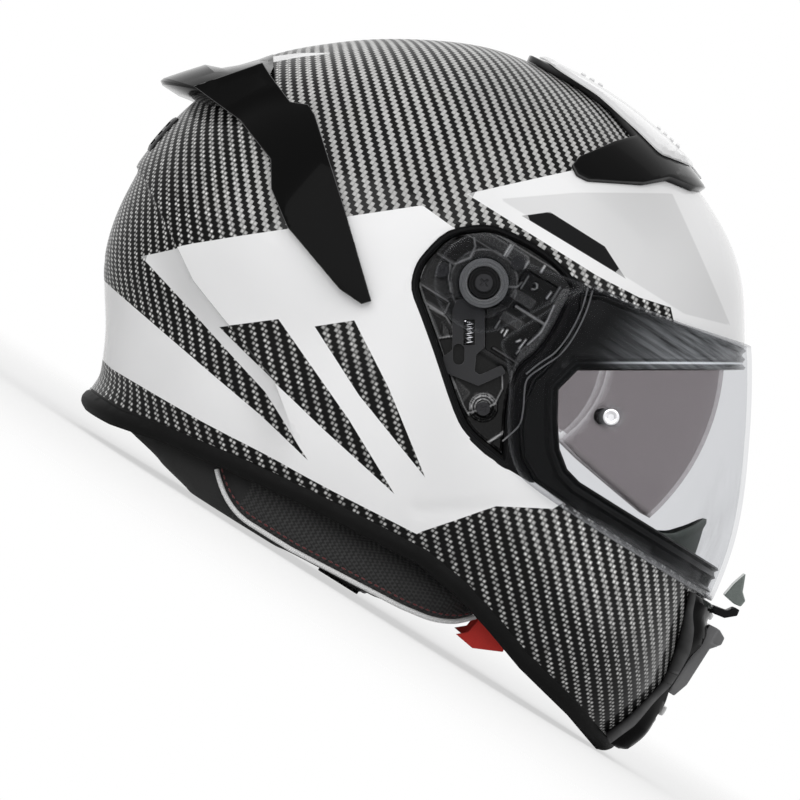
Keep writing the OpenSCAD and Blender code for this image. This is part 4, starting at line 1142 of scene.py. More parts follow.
def make_shell():
    """The laminate shell, open at the face, the neck and the two side pockets."""
    ridges = [[(y, z + d) for y, z in REAR_CREASE] + [(26, -60), (190, -60)] for d in (-0.5, 0.5)]
    lines = [DOME_ZONE, CHEEK_ZONE, REAR_ZONE, SIDE_PLATE, STRIP_ZONE] + ridges + SLASHES \
        + [inset(s, 0.5) for s in SLASHES]
    sheet = Sheet(RIM_LINE + [(220, 320), (-220, 320)], 0.0, holes=[EYEPORT, POCKET], lines=lines,
                  step=2.6)
    side = sheet.points(0.0)[:, 1:]
    relief = shell_relief(side)
    white = -np.maximum.reduce([edge_distance(side, zone) for zone in
                                [DOME_ZONE, STRIP_ZONE, CHEEK_ZONE, REAR_ZONE] + SLASHES])
    white = np.maximum(white, edge_distance(side, CROWN_STRIPE))
    behind_chin = [(y - 3, z) for y, z in CHIN_EDGE] + [(-220, 86), (-220, 9)]
    black = np.maximum.reduce([edge_distance(side, zone)
                               for zone in (SIDE_PLATE, BLACK_LIP, behind_chin)])
    # Painted shade just below the rear crease, passed to the finish as the crease attribute
    fall = below_line(side, REAR_CREASE)
    shade = blend_step(fall, -0.3, 0.6) * (1 - blend_step(fall, 1, 26))
    piece, _, origin = panel(
        "shell", sheet, -SHELL_WALL, 0.0, 0.7, relief, "lacquered_laminate",
        "lacquered_laminate", "outer_shell", bottom=relief - SHELL_WALL, white=white, plate=black,
        border=edge_distance(side, BROW_PANEL), crease=shade * blend_step(side[:, 0], 24, 60))
    set_map(piece, cloth_map(sheet.uv)[origin])


def make_pocket(side):
    """The dished wall and flat floor of one side pocket, with its double lip."""
    ring = dense(POCKET, 2.5)
    top = shell_x(ring)
    steps = [(-1.2, top - 1.6), (-0.3, top - 0.35), (0.35, top - 0.5), (0.7, top - 1.1),
             (1.5, top - 1.2), (1.9, top - 0.8), (2.4, top - 1.3), (2.8, top - 2.4),
             (3.2, np.minimum(top - 3, POCKET_FLOOR + 1.2)), (3.8, POCKET_FLOOR + 0.0 * top)]
    rows = [np.column_stack([x, inset(ring, d)]) for d, x in steps]
    back = np.column_stack([np.full(len(ring), POCKET_FLOOR - 3.5), inset(ring, -1.2)])
    n = len(ring)
    points = np.vstack(rows + [back]) * [side, 1, 1]
    last = len(rows)
    faces = ring_faces([(r, r + 1) for r in range(last - 1)] + [(last, 0)], n)
    faces += [tuple((last - 1) * n + k for k in range(n)),
              tuple(last * n + k for k in range(n - 1, -1, -1))]
    piece = new_mesh("pocket_%s" % ("left" if side > 0 else "right"), points,
                     outward(points, faces), FINISH["black_plastic"], angle=40)
    ride(piece, "helmet", "black_plastic")


def make_trim():
    """Rubber trim round the shell's rim, rounded outside and folded under the edge."""
    band = [(y, z + TRIM_HEIGHT - 2) for y, z in RIM_LINE] + \
        [(y, z - 2) for y, z in reversed(RIM_LINE)]
    sheet = Sheet(band, 0.0, step=2.2)
    side = sheet.points(0.0)[:, 1:]
    depth = edge_distance(side, band)
    top = 0.9 + 1.3 * blend_step(depth, 0, 3.2)
    flare = tail_flare(side)
    low = -SHELL_WALL - TRIM_WALL
    panel("rim_trim_rubber", sheet, low, TRIM_WALL, 1.0, top + flare, "rubber", "rubber",
          "rim_trim", steps=3, bottom=flare + low)


def make_gasket():
    """Seal of the eyeport: a wide smoky band over the brow, two soft lips all round."""
    inner = inset(EYE_CLEAR, -0.01)
    ridges = [inset(EYE_CLEAR, -d) for d in (1.0, 2.4, 3.8, 5.0, 6.4)]
    sheet = Sheet(inset(EYEPORT, 0.15), 0.0, holes=[inner],
                  lines=ridges + [inset(EYEPORT, 0.9), inset(EYEPORT, 2.2)], step=2.0)
    side = sheet.points(0.0)[:, 1:]
    lip = -edge_distance(side, inner)
    rim = edge_distance(side, inset(EYEPORT, 0.15))
    top = -1.4 + np.maximum.reduce([1.7 * (1 - blend_step(np.abs(lip - 1.0), 0.6, 1.6)),
                                    1.5 * (1 - blend_step(np.abs(lip - 5.0), 0.6, 1.6)),
                                    1.8 * (1 - blend_step(rim, 0.8, 2.2))])
    front = blend_step(-side[:, 0], 54, 98) * blend_step(side[:, 1], 150, 160)
    panel("eyeport_seal", sheet, -SHELL_WALL, 0.4, 0.5, top, "seal", "rubber", "eyeport_gasket",
          front=front, lip=lip)


# Visor
VISOR_EDGE = [(-39, 182), (-60, 184.5), (-84, 189), (-103, 194), (-121, 199), (-220, 224),
              (-220, 87), (-150, 87), (-104, 87), (-75, 87.5), (-58, 89), (-48, 97), (-39, 110),
              (-33, 122), (-25, 132), (-17, 137)]
EAR_RADIUS = 23.0
VISOR_GAP, VISOR_WALL = 0.8, 2.2
HUB_FACE = float(shell_x([VISOR_PIVOT], VISOR_GAP)[0]) - 3
LENS_PIN = (-80.0, 135.0)


def visor_outline():
    turn = np.radians(np.arange(-138, 132, 6))
    ear = np.column_stack([VISOR_PIVOT[0] + EAR_RADIUS * np.cos(turn),
                           VISOR_PIVOT[1] + EAR_RADIUS * np.sin(turn)])
    edge = soften(VISOR_EDGE, 6, 4)
    start = int(np.argmin(np.linalg.norm(edge - VISOR_EDGE[0], axis=1)))
    edge = np.roll(edge, -start, axis=0)
    return np.vstack([edge, ear])


def make_visor():
    """The clear visor with its round ears, and the boss on the inside of each ear."""
    outline = visor_outline()
    holes = [circle(LENS_PIN, 4.2), circle(VISOR_PIVOT, 8.0)]
    sheet = Sheet(outline, VISOR_GAP, holes=holes,
                  lines=[inset(outline, 1.4), inset(outline, 3.0)], step=3.0)
    side = sheet.points(VISOR_GAP)[:, 1:]
    piece, points, origin = panel(
        "clear_visor", sheet, VISOR_GAP, VISOR_GAP + VISOR_WALL, 0.8, None, "clear_glass",
        "clear_glass", "visor_shield", steps=3, body="visor")
    depth = np.minimum(edge_distance(side, outline),
                       -np.maximum(edge_distance(side, holes[0]), edge_distance(side, holes[1])))
    depth = depth[origin]
    rim = edge_marks(sheet, points)
    ahead = 0.3 + 0.7 * blend_step(-points[:, 1], 36, 84)
    set_attribute(piece, "rim", np.maximum(rim, 0.6 * (1 - blend_step(depth, 0.3, 2.0))) * ahead)
    set_attribute(piece, "low", (1 - blend_step(points[:, 2], 87, 92))
                  * blend_step(-points[:, 1], 80, 110))
    profile = [(r, HUB_FACE + x)
               for r, x in ((8.1, 0.05), (12.6, 0.05), (13.0, 0.4), (13.0, 2.7), (8.1, 2.7))]
    boss = turned_pair(profile, VISOR_PIVOT)
    ride(new_mesh("visor_bosses", *boss, FINISH["clear_glass_plain"]), "visor", "clear_glass")


def make_lens_pins():
    """Bright stepped pins that hold the inner lens, with a small key slot each."""
    x = float(shell_x([LENS_PIN], VISOR_GAP)[0])
    top = x + VISOR_WALL + 1.6
    profile = [(0.01, top - 0.9), (1.5, top - 0.9), (1.8, top - 0.35), (2.9, top), (3.6, top - 0.1),
               (4.0, top - 0.7), (4.0, x - 4), (3.0, x - 4), (3.0, x - 6.5), (0.01, x - 6.5)]
    solids = turned_pair(profile, LENS_PIN, 40)
    ride(new_mesh("lens_pin_heads", *solids, FINISH["bright_steel"], angle=50), "visor",
         "bright_steel", "lens_pins")


# Sun visor
SUN_PIVOT = (-22.0, 135.0)
SUN_RADIUS, SUN_WALL, SUN_ARM_X, SUN_BULGE = 105.0, 2.0, 100.5, 14.0
SUN_OUTLINE = [(-46, 153), (-52, 166), (-85, 186), (-112, 197), (-150, 180), (-150, 107),
               (-127, 105.5), (-118, 105), (-98, 108), (-79, 111), (-62, 115), (-48, 121)]


def sun_curve(x):
    return SUN_RADIUS * np.sqrt(1 - (x / (SUN_ARM_X + SUN_BULGE)) ** 2)


def sun_ring(radius, angle):
    """Side-view points of a circle round the sun visor's pivot."""
    angle = np.atleast_1d(angle)
    return np.column_stack([SUN_PIVOT[0] + radius * np.cos(angle),
                            SUN_PIVOT[1] + radius * np.sin(angle)])


def make_sun_visor():
    """The smoked sun visor: part of a body turned about its own pivots, with two arms."""
    limit = math.asin(SUN_ARM_X / (SUN_ARM_X + SUN_BULGE))
    xs = (SUN_ARM_X + SUN_BULGE) * np.sin(np.linspace(-limit, limit, 81))
    spans = []
    for x in xs:
        spans.append([last_place(lambda a: inside(sun_ring(sun_curve(x), a), SUN_OUTLINE)[0],
                                 math.pi, math.pi + way * 1.9)[0] for way in (1, -1)])
    spans = np.array(spans)
    steps = 26
    t = np.linspace(0, 1, steps)
    t = 0.5 - 0.5 * np.cos(np.pi * t)
    outer, inner = [], []
    for x, (low, high) in zip(xs, spans):
        b = low + (high - low) * t
        for rows, r in ((outer, sun_curve(x)), (inner, sun_curve(x) - SUN_WALL)):
            rows.append(np.column_stack([np.full(steps, x), sun_ring(r, b)]))
    grid = np.arange(len(xs) * steps).reshape(len(xs), steps)
    n = grid.size
    faces = []
    for i in range(len(xs) - 1):
        for k in range(steps - 1):
            a, b, c, d = grid[i, k], grid[i + 1, k], grid[i + 1, k + 1], grid[i, k + 1]
            faces += [(a, b, c, d), (n + d, n + c, n + b, n + a)]
    loop = list(grid[:, 0]) + list(grid[-1, 1:]) + list(grid[-2::-1, -1]) + list(grid[0, -2:0:-1])
    for a, b in zip(loop, loop[1:] + loop[:1]):
        faces.append((b, a, n + a, n + b))
    points = np.vstack(outer + inner)
    body = (points, outward(points, faces))
    bow = sun_ring(sun_curve(SUN_ARM_X) - SUN_WALL + 0.1, np.radians(np.arange(145, 202, 7)))
    fan = [(-16, 141), (-22, 144), (-46, 156), *map(tuple, bow), (-46, 119), (-22, 127),
           (-16, 130)]
    arms, sides = [], []
    for side in (-1, 1):
        sheet = Plan(fan, flat_at(SUN_ARM_X), holes=[circle(SUN_PIVOT, 3.05, 24)], step=6)
        p, tris, _ = plate(sheet, -SUN_WALL, 0.0, edge=0.4)
        arms.append(on_side(p, tris, side))
        sides.append(edge_marks(sheet, p))
    points, faces = joined(body, *arms)
    piece = new_mesh("drop_visor", points, faces, FINISH["smoked_glass"])
    rim = np.zeros(len(points))
    rim[:2 * n] = np.tile(1 - blend_step(np.minimum(t, 1 - t), 0.0, 0.03), 2 * len(xs))
    set_attribute(piece, "rim", rim)
    ends = np.zeros((2, len(xs), steps))
    ends[:, 0] = ends[:, -1] = 1
    set_attribute(piece, "hidden", np.concatenate([ends.ravel()] + sides))
    ride(piece, "sun_visor", "smoked_glass", "sun_visor")


# Spoiler and vents
BLADE = [(165.7, 163.1), (144.2, 189.3), (137.8, 186.2), (123.3, 180.5), (115.5, 183.7),
         (110.3, 181.3), (75.1, 151.3), (41.9, 121.7), (45.1, 118.1), (57.4, 118.6), (93.1, 130.2),
         (108.8, 141.2), (116.5, 152.8), (138.6, 160.9)]
BLADE_RISE, BLADE_WALL = 5.0, 4.0
FIN_X, FIN_TOE, FIN_LEAN = 86.5, 0.42, 0.10


def clear_of_form(points, off):
    """Points inside the form moved straight out in the side view to its surface."""
    p = np.array(points, float)
    for k in range(len(p)):
        x = abs(p[k, 0])
        v = p[k, 1:] - CENTRE
        if shell_x([p[k, 1:]], off)[0] > x:
            _, out = last_place(lambda s: shell_x([CENTRE + v * s], off)[0] > x, 1.0, 6.0)
            p[k, 1:] = CENTRE + v * out
    return p


def blade_x(points):
    """How far out the flat blade stands: on the shell below, toed in towards its tail."""
    y, z = points[:, 0], points[:, 1]
    on_shell = shell_x(points, 0.0) + BLADE_RISE
    fin = FIN_X - FIN_TOE * (y - 118) - FIN_LEAN * (z - 160)
    gap = on_shell - fin
    return np.where(gap > 4, on_shell, np.where(gap < -4, fin, fin + (gap + 4) ** 2 / 16))


WING_MIDDLE = [(140, 194), (143.5, 193), (147.5, 190.6), (155, 183.2), (161, 178), (168.4, 175.4),
               (176, 166.5), (181.6, 159.6), (182.2, 157.8), (180.5, 156.6), (172, 156.5),
               (160, 157.5), (146, 156.5), (138, 160)]
WING_END = [(138, 184.4), (140.6, 185.6), (143.4, 187.2), (147.4, 183.2), (151.8, 177.8),
            (155.8, 173), (160, 168), (163.8, 163.6), (164, 163.2), (162.8, 163), (156, 162.9),
            (148, 162.6), (141, 162.4), (138, 163)]


def wing_section(s):
    """Ring of the wing at a place across it, from -1 to 1, its ends hidden in the blades."""
    t = (s * s) ** 1.3
    ring = np.array(WING_MIDDLE) * (1 - t) + np.array(WING_END) * t
    reach = blade_x(np.array(WING_END, float)) - BLADE_WALL * 0.6
    return np.column_stack([reach * s, ring])


def make_spoiler():
    """A wing across the back between two flat blades that run down the sides to a point."""
    sheet = Plan(BLADE, flat_at(0), step=2.4)
    out = blade_x(sheet.uv)
    on_shell = shell_x(sheet.uv, 0.3)
    low = np.where(on_shell > 8, np.maximum(on_shell, out - BLADE_WALL), out - BLADE_WALL)
    high = np.maximum(out, low + 0.8)
    blade, tris, _ = plate(sheet, 0, 1, edge=0.35, top=high, bottom=low)
    parts = [on_side(blade, tris, side) for side in (-1, 1)]
    # Painted highlight along the blades' rounded edges
    bright = [0.12 * edge_marks(sheet, blade)] * 2
    rows = [wing_section(s) for s in np.linspace(-1, 1, 57)]
    wing = clear_of_form(np.vstack(rows), 0.3)
    parts.append((wing, outward(wing, tube_faces(len(rows), len(rows[0])))))
    piece = new_mesh("tail_spoiler", *joined(*parts), FINISH["edged_black"], angle=14)
    set_attribute(piece, "bright", np.concatenate(bright + [np.zeros(len(wing))]))
    ride(piece, "helmet", "gloss_black", "rear_spoiler")


BROW_FRAME = [(46, 257.6), (40, 275), (-66, 275), (-70.9, 255.2), (-56.5, 245), (-44.3, 242.4),
              (-35.7, 234.2), (-13.1, 221.8), (-7.6, 221.3), (-3.2, 224), (-4, 229.3),
              (-13.6, 243), (-21.2, 251), (-3.7, 257), (13.7, 258.4), (32.3, 257.6)]
FRAME_FOLD = [(-21.2, 251.2), (-44, 244), (-58, 249.5), (-70, 254.6), (-70, 275), (40, 275),
              (40, 262), (0, 259)]
COVER_EDGE = [(36, 264.5), (26, 262.9), (4, 262.5), (-21, 258), (-35, 254.8), (-54, 258.9)]
FIT = 0.3
COVER_LOW, COVER_TOP = 3.8, 5.8
BROW_HEIGHT, CHIN_TOP, INSERT_TOP, GRILLE_TOP = 3.5, 6.8, 5.0, 1.2


def make_brow_frame():
    """Gloss black frame of the brow vent with a scoop mouth low on each side."""
    outline = soften(BROW_FRAME, 0.8, 2)
    sheet = Sheet(outline, FIT, lines=[FRAME_FOLD], step=2.0)
    side = sheet.points(FIT)[:, 1:]
    fold = edge_distance(side, FRAME_FOLD)
    top = BROW_HEIGHT - 1.4 * blend_step(-fold, 0.0, 22.0)
    piece, points, origin = panel("brow_scoop", sheet, FIT, BROW_HEIGHT, 0.5, top, "edged_black",
                                  "gloss_black", "brow_vent_frame", angle=28)
    # Painted highlight on the top face at the frame's front end, and along its rounded edge
    painted_facet_highlight = 0.05 * blend_step(fold, 0.0, 0.6) * (side[:, 0] < -46)
    set_attribute(piece, "bright", painted_facet_highlight[origin] + 0.06 * edge_marks(sheet, points))


def crown_outline(edge, off, low, high, step=1.5):
    """Plan outline on the crown of what lies above a side-view edge."""
    ys = np.arange(high, low - 0.01, -step)
    line = sorted(edge)
    z = np.interp(ys, [p[0] for p in line], [p[1] for p in line])
    x = np.maximum(shell_x(np.column_stack([ys, z]), off), 1.0)
    return [(a, b) for a, b in zip(x, ys)] + [(-a, b) for a, b in zip(x[::-1], ys[::-1])]


def window(width, y0, y1):
    return [(-width / 2, y0), (width / 2, y0), (width / 2, y1), (-width / 2, y1)]


def make_brow_cover():
    """White cover of the brow vent, with windows for the two sliders and raised steps."""
    outline = soften(crown_outline(COVER_EDGE, COVER_TOP, -58, 36, 3.0), 1.5, 2)
    front, back = window(31.2, -42.6, -18.8), window(23.2, 3.4, 25.2)
    sheet = Plan(outline, on_crown, holes=[soften(front, 2), soften(back, 2)],
                 lines=[inset(outline, 2.5)], step=2.2)
    depth = edge_distance(sheet.uv, outline)
    top = COVER_TOP - 1.1 * (1 - blend_step(depth, 0, 2.6))
    sides = blend_step(np.abs(sheet.uv[:, 0]), 19, 21)
    for y in (-50, -45, -40, -35):
        top += 0.5 * sides * (blend_step(sheet.uv[:, 1], y, y + 0.7)
                              - blend_step(sheet.uv[:, 1], y + 0.7, y + 4.6))
    panel("brow_cover", sheet, COVER_LOW, COVER_TOP, 0.6, top, "white_lacquer", "white_lacquer",
          "brow_vent_cover", angle=24)


CHIN_EDGE = [(-157.5, 9), (-162, 20), (-165.4, 33), (-167.9, 45), (-164.6, 60), (-160.5, 72),
             (-155, 86)]
SHUTTER_WIDTH, INSERT_WIDTH, CATCH_WIDTH = 52.0, 60.0, 40.0


def notch(half, low, high):
    """Side-view line of a straight cut in the chin, from its foot to its top and out in front."""
    line = [tuple(on_face(np.array([[half, z]]))[0, 1:]) for z in np.linspace(low, high, 9)]
    return [(-220, low)] + line + [(-220, high)]


def make_chin_frame():
    """Gloss black frame round the chin shutter, cut out for the insert and the catch."""
    cuts = notch(INSERT_WIDTH / 2 + 0.4, 9, 29.4) + notch(SHUTTER_WIDTH / 2 + 0.5, 33.7, 79) \
        + notch(CATCH_WIDTH / 2 + 0.3, 81.8, 86)
    outline = cuts[1:-1] + CHIN_EDGE[::-1]
    body = CHIN_EDGE + [(-220, 86), (-220, 9)]
    sheet = Sheet(outline, FIT, lines=[inset(body, 2.8)], step=2.0)
    across, side = np.abs(sheet.points(FIT)[:, 0]), sheet.points(FIT)[:, 1:]
    height = side[:, 1]
    top = 4.4 + 2.2 * blend_step(edge_distance(side, body), 0, 2.8)
    beside = blend_step(across, 24, 27) * (1 - blend_step(across, 34, 56))
    top += 3.4 * beside * blend_step(height, 34, 66) * (1 - blend_step(height, 70, 80))
    top += 2.4 * beside * (1 - blend_step(height, 18, 34))
    piece, points, _ = panel("chin_frame", sheet, FIT, CHIN_TOP, 0.5, top, "edged_black",
                             "gloss_black", "chin_vent_frame", angle=28)
    # Painted highlight along the frame's rounded edge
    set_attribute(piece, "bright", 0.10 * edge_marks(sheet, points))


def make_chin_insert():
    """Grey lower insert of the chin, with two shallow mouths."""
    half = INSERT_WIDTH / 2
    outline = soften([(-half, 10), (half, 10), (half, 28.8), (-half, 28.8)], 2.5)
    mouths = [soften([(s * 14 - 10, 17.5), (s * 14 + 10, 17.5), (s * 14 + 9, 20.8),
                      (s * 14 - 9, 20.8)], 1.2) for s in (-1, 1)]
    sheet = Plan(outline, on_face, lines=mouths + [inset(m, 0.8) for m in mouths], step=1.7)
    top = INSERT_TOP - 1.4 * (1 - blend_step(edge_distance(sheet.uv, outline), 0, 2.2))
    for mouth in mouths:
        top -= 2.2 * blend_step(edge_distance(sheet.uv, mouth), 0, 0.8)
    panel("chin_lower_insert", sheet, FIT, INSERT_TOP, 0.5, top, "grey_plastic", "grey_plastic",
          "chin_insert", angle=28)


def make_grille():
    """Exhaust grille under the wing, with raised slats."""
    outline = soften([(-28, 127), (28, 127), (28, 147), (-28, 147)], 3)
    gaps = [soften([(s * 14 - 10, z), (s * 14 + 10, z), (s * 14 + 10, z + 2.8),
                    (s * 14 - 10, z + 2.8)], 1.0) for s in (-1, 1) for z in (130, 135.4, 140.8)]
    sheet = Plan(outline, on_back, holes=gaps, step=2.4)
    top = GRILLE_TOP - 0.7 * (1 - blend_step(edge_distance(sheet.uv, outline), 0, 2.0))
    panel("exhaust_slats", sheet, FIT, GRILLE_TOP, 0.4, top, "black_plastic", "black_plastic",
          "exhaust_grille", angle=28)


GUARD_LOW = -14.0


def make_guard():
    """Breath guard over the nose, thin and curved with a peaked top."""
    outline = soften([(-122, 96), (-124, 103), (-133, 108), (-139, 115.5), (-144.5, 125),
                      (-220, 131), (-220, 88)], 2.5, 3)
    sheet = Sheet(outline, GUARD_LOW, step=2.4)
    depth = edge_distance(sheet.points(GUARD_LOW)[:, 1:], outline)
    top = -12.9 + 0.9 * (1 - blend_step(np.abs(depth - 1.2), 0.8, 2.0))
    panel("nose_guard", sheet, GUARD_LOW, GUARD_LOW + 2, 0.3, top, "guard_plastic",
          "guard_plastic", "breath_guard")


# Visor mechanism
# node, name, slot, body, width of the eased edges, own finish, own finish of the edges
COPIES = [
    ("pivot_screws", "pivot_screw_heads", "dark_steel", "helmet", 0.2),
    ("plate_screws", "plate_screw_heads", "dark_steel", "helmet", 0.2),
    ("visor_catch", "chin_catch", "black_plastic", "helmet", 0.5),
    ("visor_tab", "lift_tab", "clear_glass", "visor", 0.6, "tab_glass"),
    ("front_vent_slider", "front_slider_knob", "white_lacquer", "front_slider", 0.5),
    ("top_vent_slider", "top_slider_knob", "white_lacquer", "top_slider", 0.5),
    # the shutter's eased edges take the lighter plastic as painted highlight
    ("chin_shutter", "chin_shutter_flap", "grey_plastic", "chin_shutter", 0.6, None,
     "bright_plastic"),
    ("chin_vent_mesh", "chin_mesh", "black_plastic", "helmet", 0.1),
    ("sun_slider_track", "thumb_track", "black_plastic", "helmet", 0.4),
    ("sun_slider", "thumb_slider", "black_plastic", "sun_slider", 0.4),
    ("sun_visor_pins", "sun_pins", "bright_steel", "helmet", 0.15),
    ("strap_anchors", "strap_rivets", "bright_steel", "helmet", 0.3),
]
# radius and height of the hub's rings over its face, and of the post's over its own
HUB_RINGS = [(7.7, 0.02), (7.7, 0.5), (8.1, 0.75), (8.6, 0.75), (8.9, 0.35), (9.3, 0.35),
             (9.6, 0.6), (10.1, 0.6), (10.4, 0.2), (10.8, 0.2), (11.4, 0.1), (11.4, 0.02)]
POST_RINGS = [(2.2, -0.02), (2.2, 0.3), (2.6, 0.45), (4.6, 0.45), (5.0, 0.15), (5.8, 0.15),
              (6.1, 0.4), (6.9, 0.4), (7.3, 0.1), (7.3, -0.02)]


def make_rings_round_pivot(name, rings, face, finish, body, count):
    solids = turned_pair([(r, face + x) for r, x in rings], VISOR_PIVOT, count)
    ride(new_mesh(name, *solids, FINISH[finish], angle=25), body, "black_plastic")


def make_mechanism():
    """The two side mechanisms: moulded faces, eased copies of the parts, turned rings."""
    for side in (-1, 1):
        make_mechanism_face(side)
    make_edge_beads()
    for side in ("right", "left"):
        from_cad("visor_hub_" + side, "hub_" + side, "black_plastic", "visor", 0.25)
        # the levers' eased edges take the lighter plastic as painted highlight
        from_cad("release_lever_" + side, "lever_" + side, "black_plastic", "lever_" + side,
                 0.35, edge="bright_plastic", finish="satin_plastic")
    # the hub rings in the lighter plastic: painted highlight
    make_rings_round_pivot("hub_rings", HUB_RINGS, HUB_FACE, "bright_plastic", "visor", 64)
    make_rings_round_pivot("post_rings", POST_RINGS, HUB_FACE + 1.2, "black_plastic", "helmet", 56)
    for row in COPIES:
        from_cad(*row)


SPRING_PLACE = (-3.8, 133.5)
SPRING_LENGTH, SPRING_WIDTH, SPRING_WIRE, SPRING_CURLS = 11.0, 4.4, 0.7, 5
SPRING_SEAT = 112.9
LEVER_WAY = (-0.526, -0.850)


def make_springs():
    """Round wire coils on the axis of each release lever."""
    x = SPRING_SEAT + SPRING_WIDTH / 2 - 0.3
    r = (SPRING_WIDTH - SPRING_WIRE) / 2
    count = 28 * SPRING_CURLS
    turn = np.linspace(0, 2 * math.pi * SPRING_CURLS, count)
    rise = (SPRING_LENGTH - SPRING_WIRE) * (np.linspace(0, 1, count) - 0.5)
    across = np.array([-LEVER_WAY[1], LEVER_WAY[0]])
    along = np.array(LEVER_WAY)
    yz = np.array(SPRING_PLACE) + np.outer(r * np.cos(turn), across) - np.outer(rise, along)
    for side, name in ((1, "left"), (-1, "right")):
        path = np.column_stack([(x + r * np.sin(turn)) * side, yz])
        points, faces = swept(path, round_section(SPRING_WIRE / 2, 8), up=(0, *along))
        piece = ride(new_mesh("spring_" + name, points, faces, FINISH["spring_steel"], angle=60),
                     "helmet", "spring_steel", "release_spring_" + name)
        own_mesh(piece)


# Face of the side mechanism
PLATE_TOP = 112.5
POST_TOP = 5.9
FACE_STEP = 0.55
LEVER_OUTLINE = [(9, 143), (4.6, 146.6), (-1, 147.2), (-4.5, 145.6), (-13.5, 131.5),
                 (-12, 126.5), (-15.5, 119.5), (-18.5, 119.5), (-24.5, 128.5), (-28.2, 126.5),
                 (-20.5, 114.8), (-13, 113.5), (-5, 112), (0.5, 117.5), (-1.5, 122.5), (8, 138)]
LEVER_TRAVEL = 4.4
CRESCENT = [(-30, 173), (-34, 175.5), (-38, 168), (-40, 160), (-39.4, 151), (-36, 144),
            (-34.5, 137), (-32, 129.5), (-29.5, 131), (-28.3, 139), (-30.6, 147),
            (-31.4, 155), (-30.2, 165)]
# outline, height, tone, speckle, painted highlight on its edge
MOULDED_PADS = [
    ([(-10, 172), (-28.5, 173), (-30, 164), (-31, 155), (-30, 147), (-28, 139), (-30, 131),
      (-14, 131), (-5, 146), (-11, 160)], -2.0, 0.0015, 0.0, 0.0),
    ([(24.5, 169.5), (17.5, 171), (14.2, 168), (13.4, 163), (18, 157.4), (27.6, 157.4)],
     -1.6, 0.003, 0.1, 0.06),
    ([(28, 155), (20, 155.6), (17, 150), (12, 145), (13, 141.6), (27, 141.6)],
     -1.4, 0.012, 0.7, 0.05),
    ([(28.4, 139.4), (11.4, 139.4), (11.2, 135.4), (23.6, 135.4)], -1.6, 0.003, 0.1, 0.08),
    ([(16.8, 132.3), (9, 132.8), (0.6, 128.8), (6.8, 124.6)], -1.6, 0.003, 0.1, 0.1),
    ([(9.4, 131), (4.6, 129.6), (2.6, 127), (6, 125.6)], 0.2, 0.02, 0.8, 0.05),
    ([(22, 177.2), (22, 172.7), (1.7, 172.7), (1.7, 177.2)], 0.9, 0.018, 1.0, 0.06),
    ([(-0.2, 177.6), (-0.2, 172.4), (-9, 172.4), (-9, 177.6)], 0.9, 0.018, 1.0, 0.06),
    ([(-11.5, 161.8), (-22.5, 161.8), (-22.5, 157), (-11.5, 157)], 0.6, 0.02, 1.0, 0.07),
    ([(-12, 150.6), (-22.8, 150.6), (-22.8, 146), (-12, 146)], 0.6, 0.02, 1.0, 0.07),
    (CRESCENT, 1.3, 0.028, 1.5, 0.06),
    ([(-10, 112), (-19, 110), (-18, 104), (-9, 108)], -0.8, 0.012, 0.9, 0.03),
]
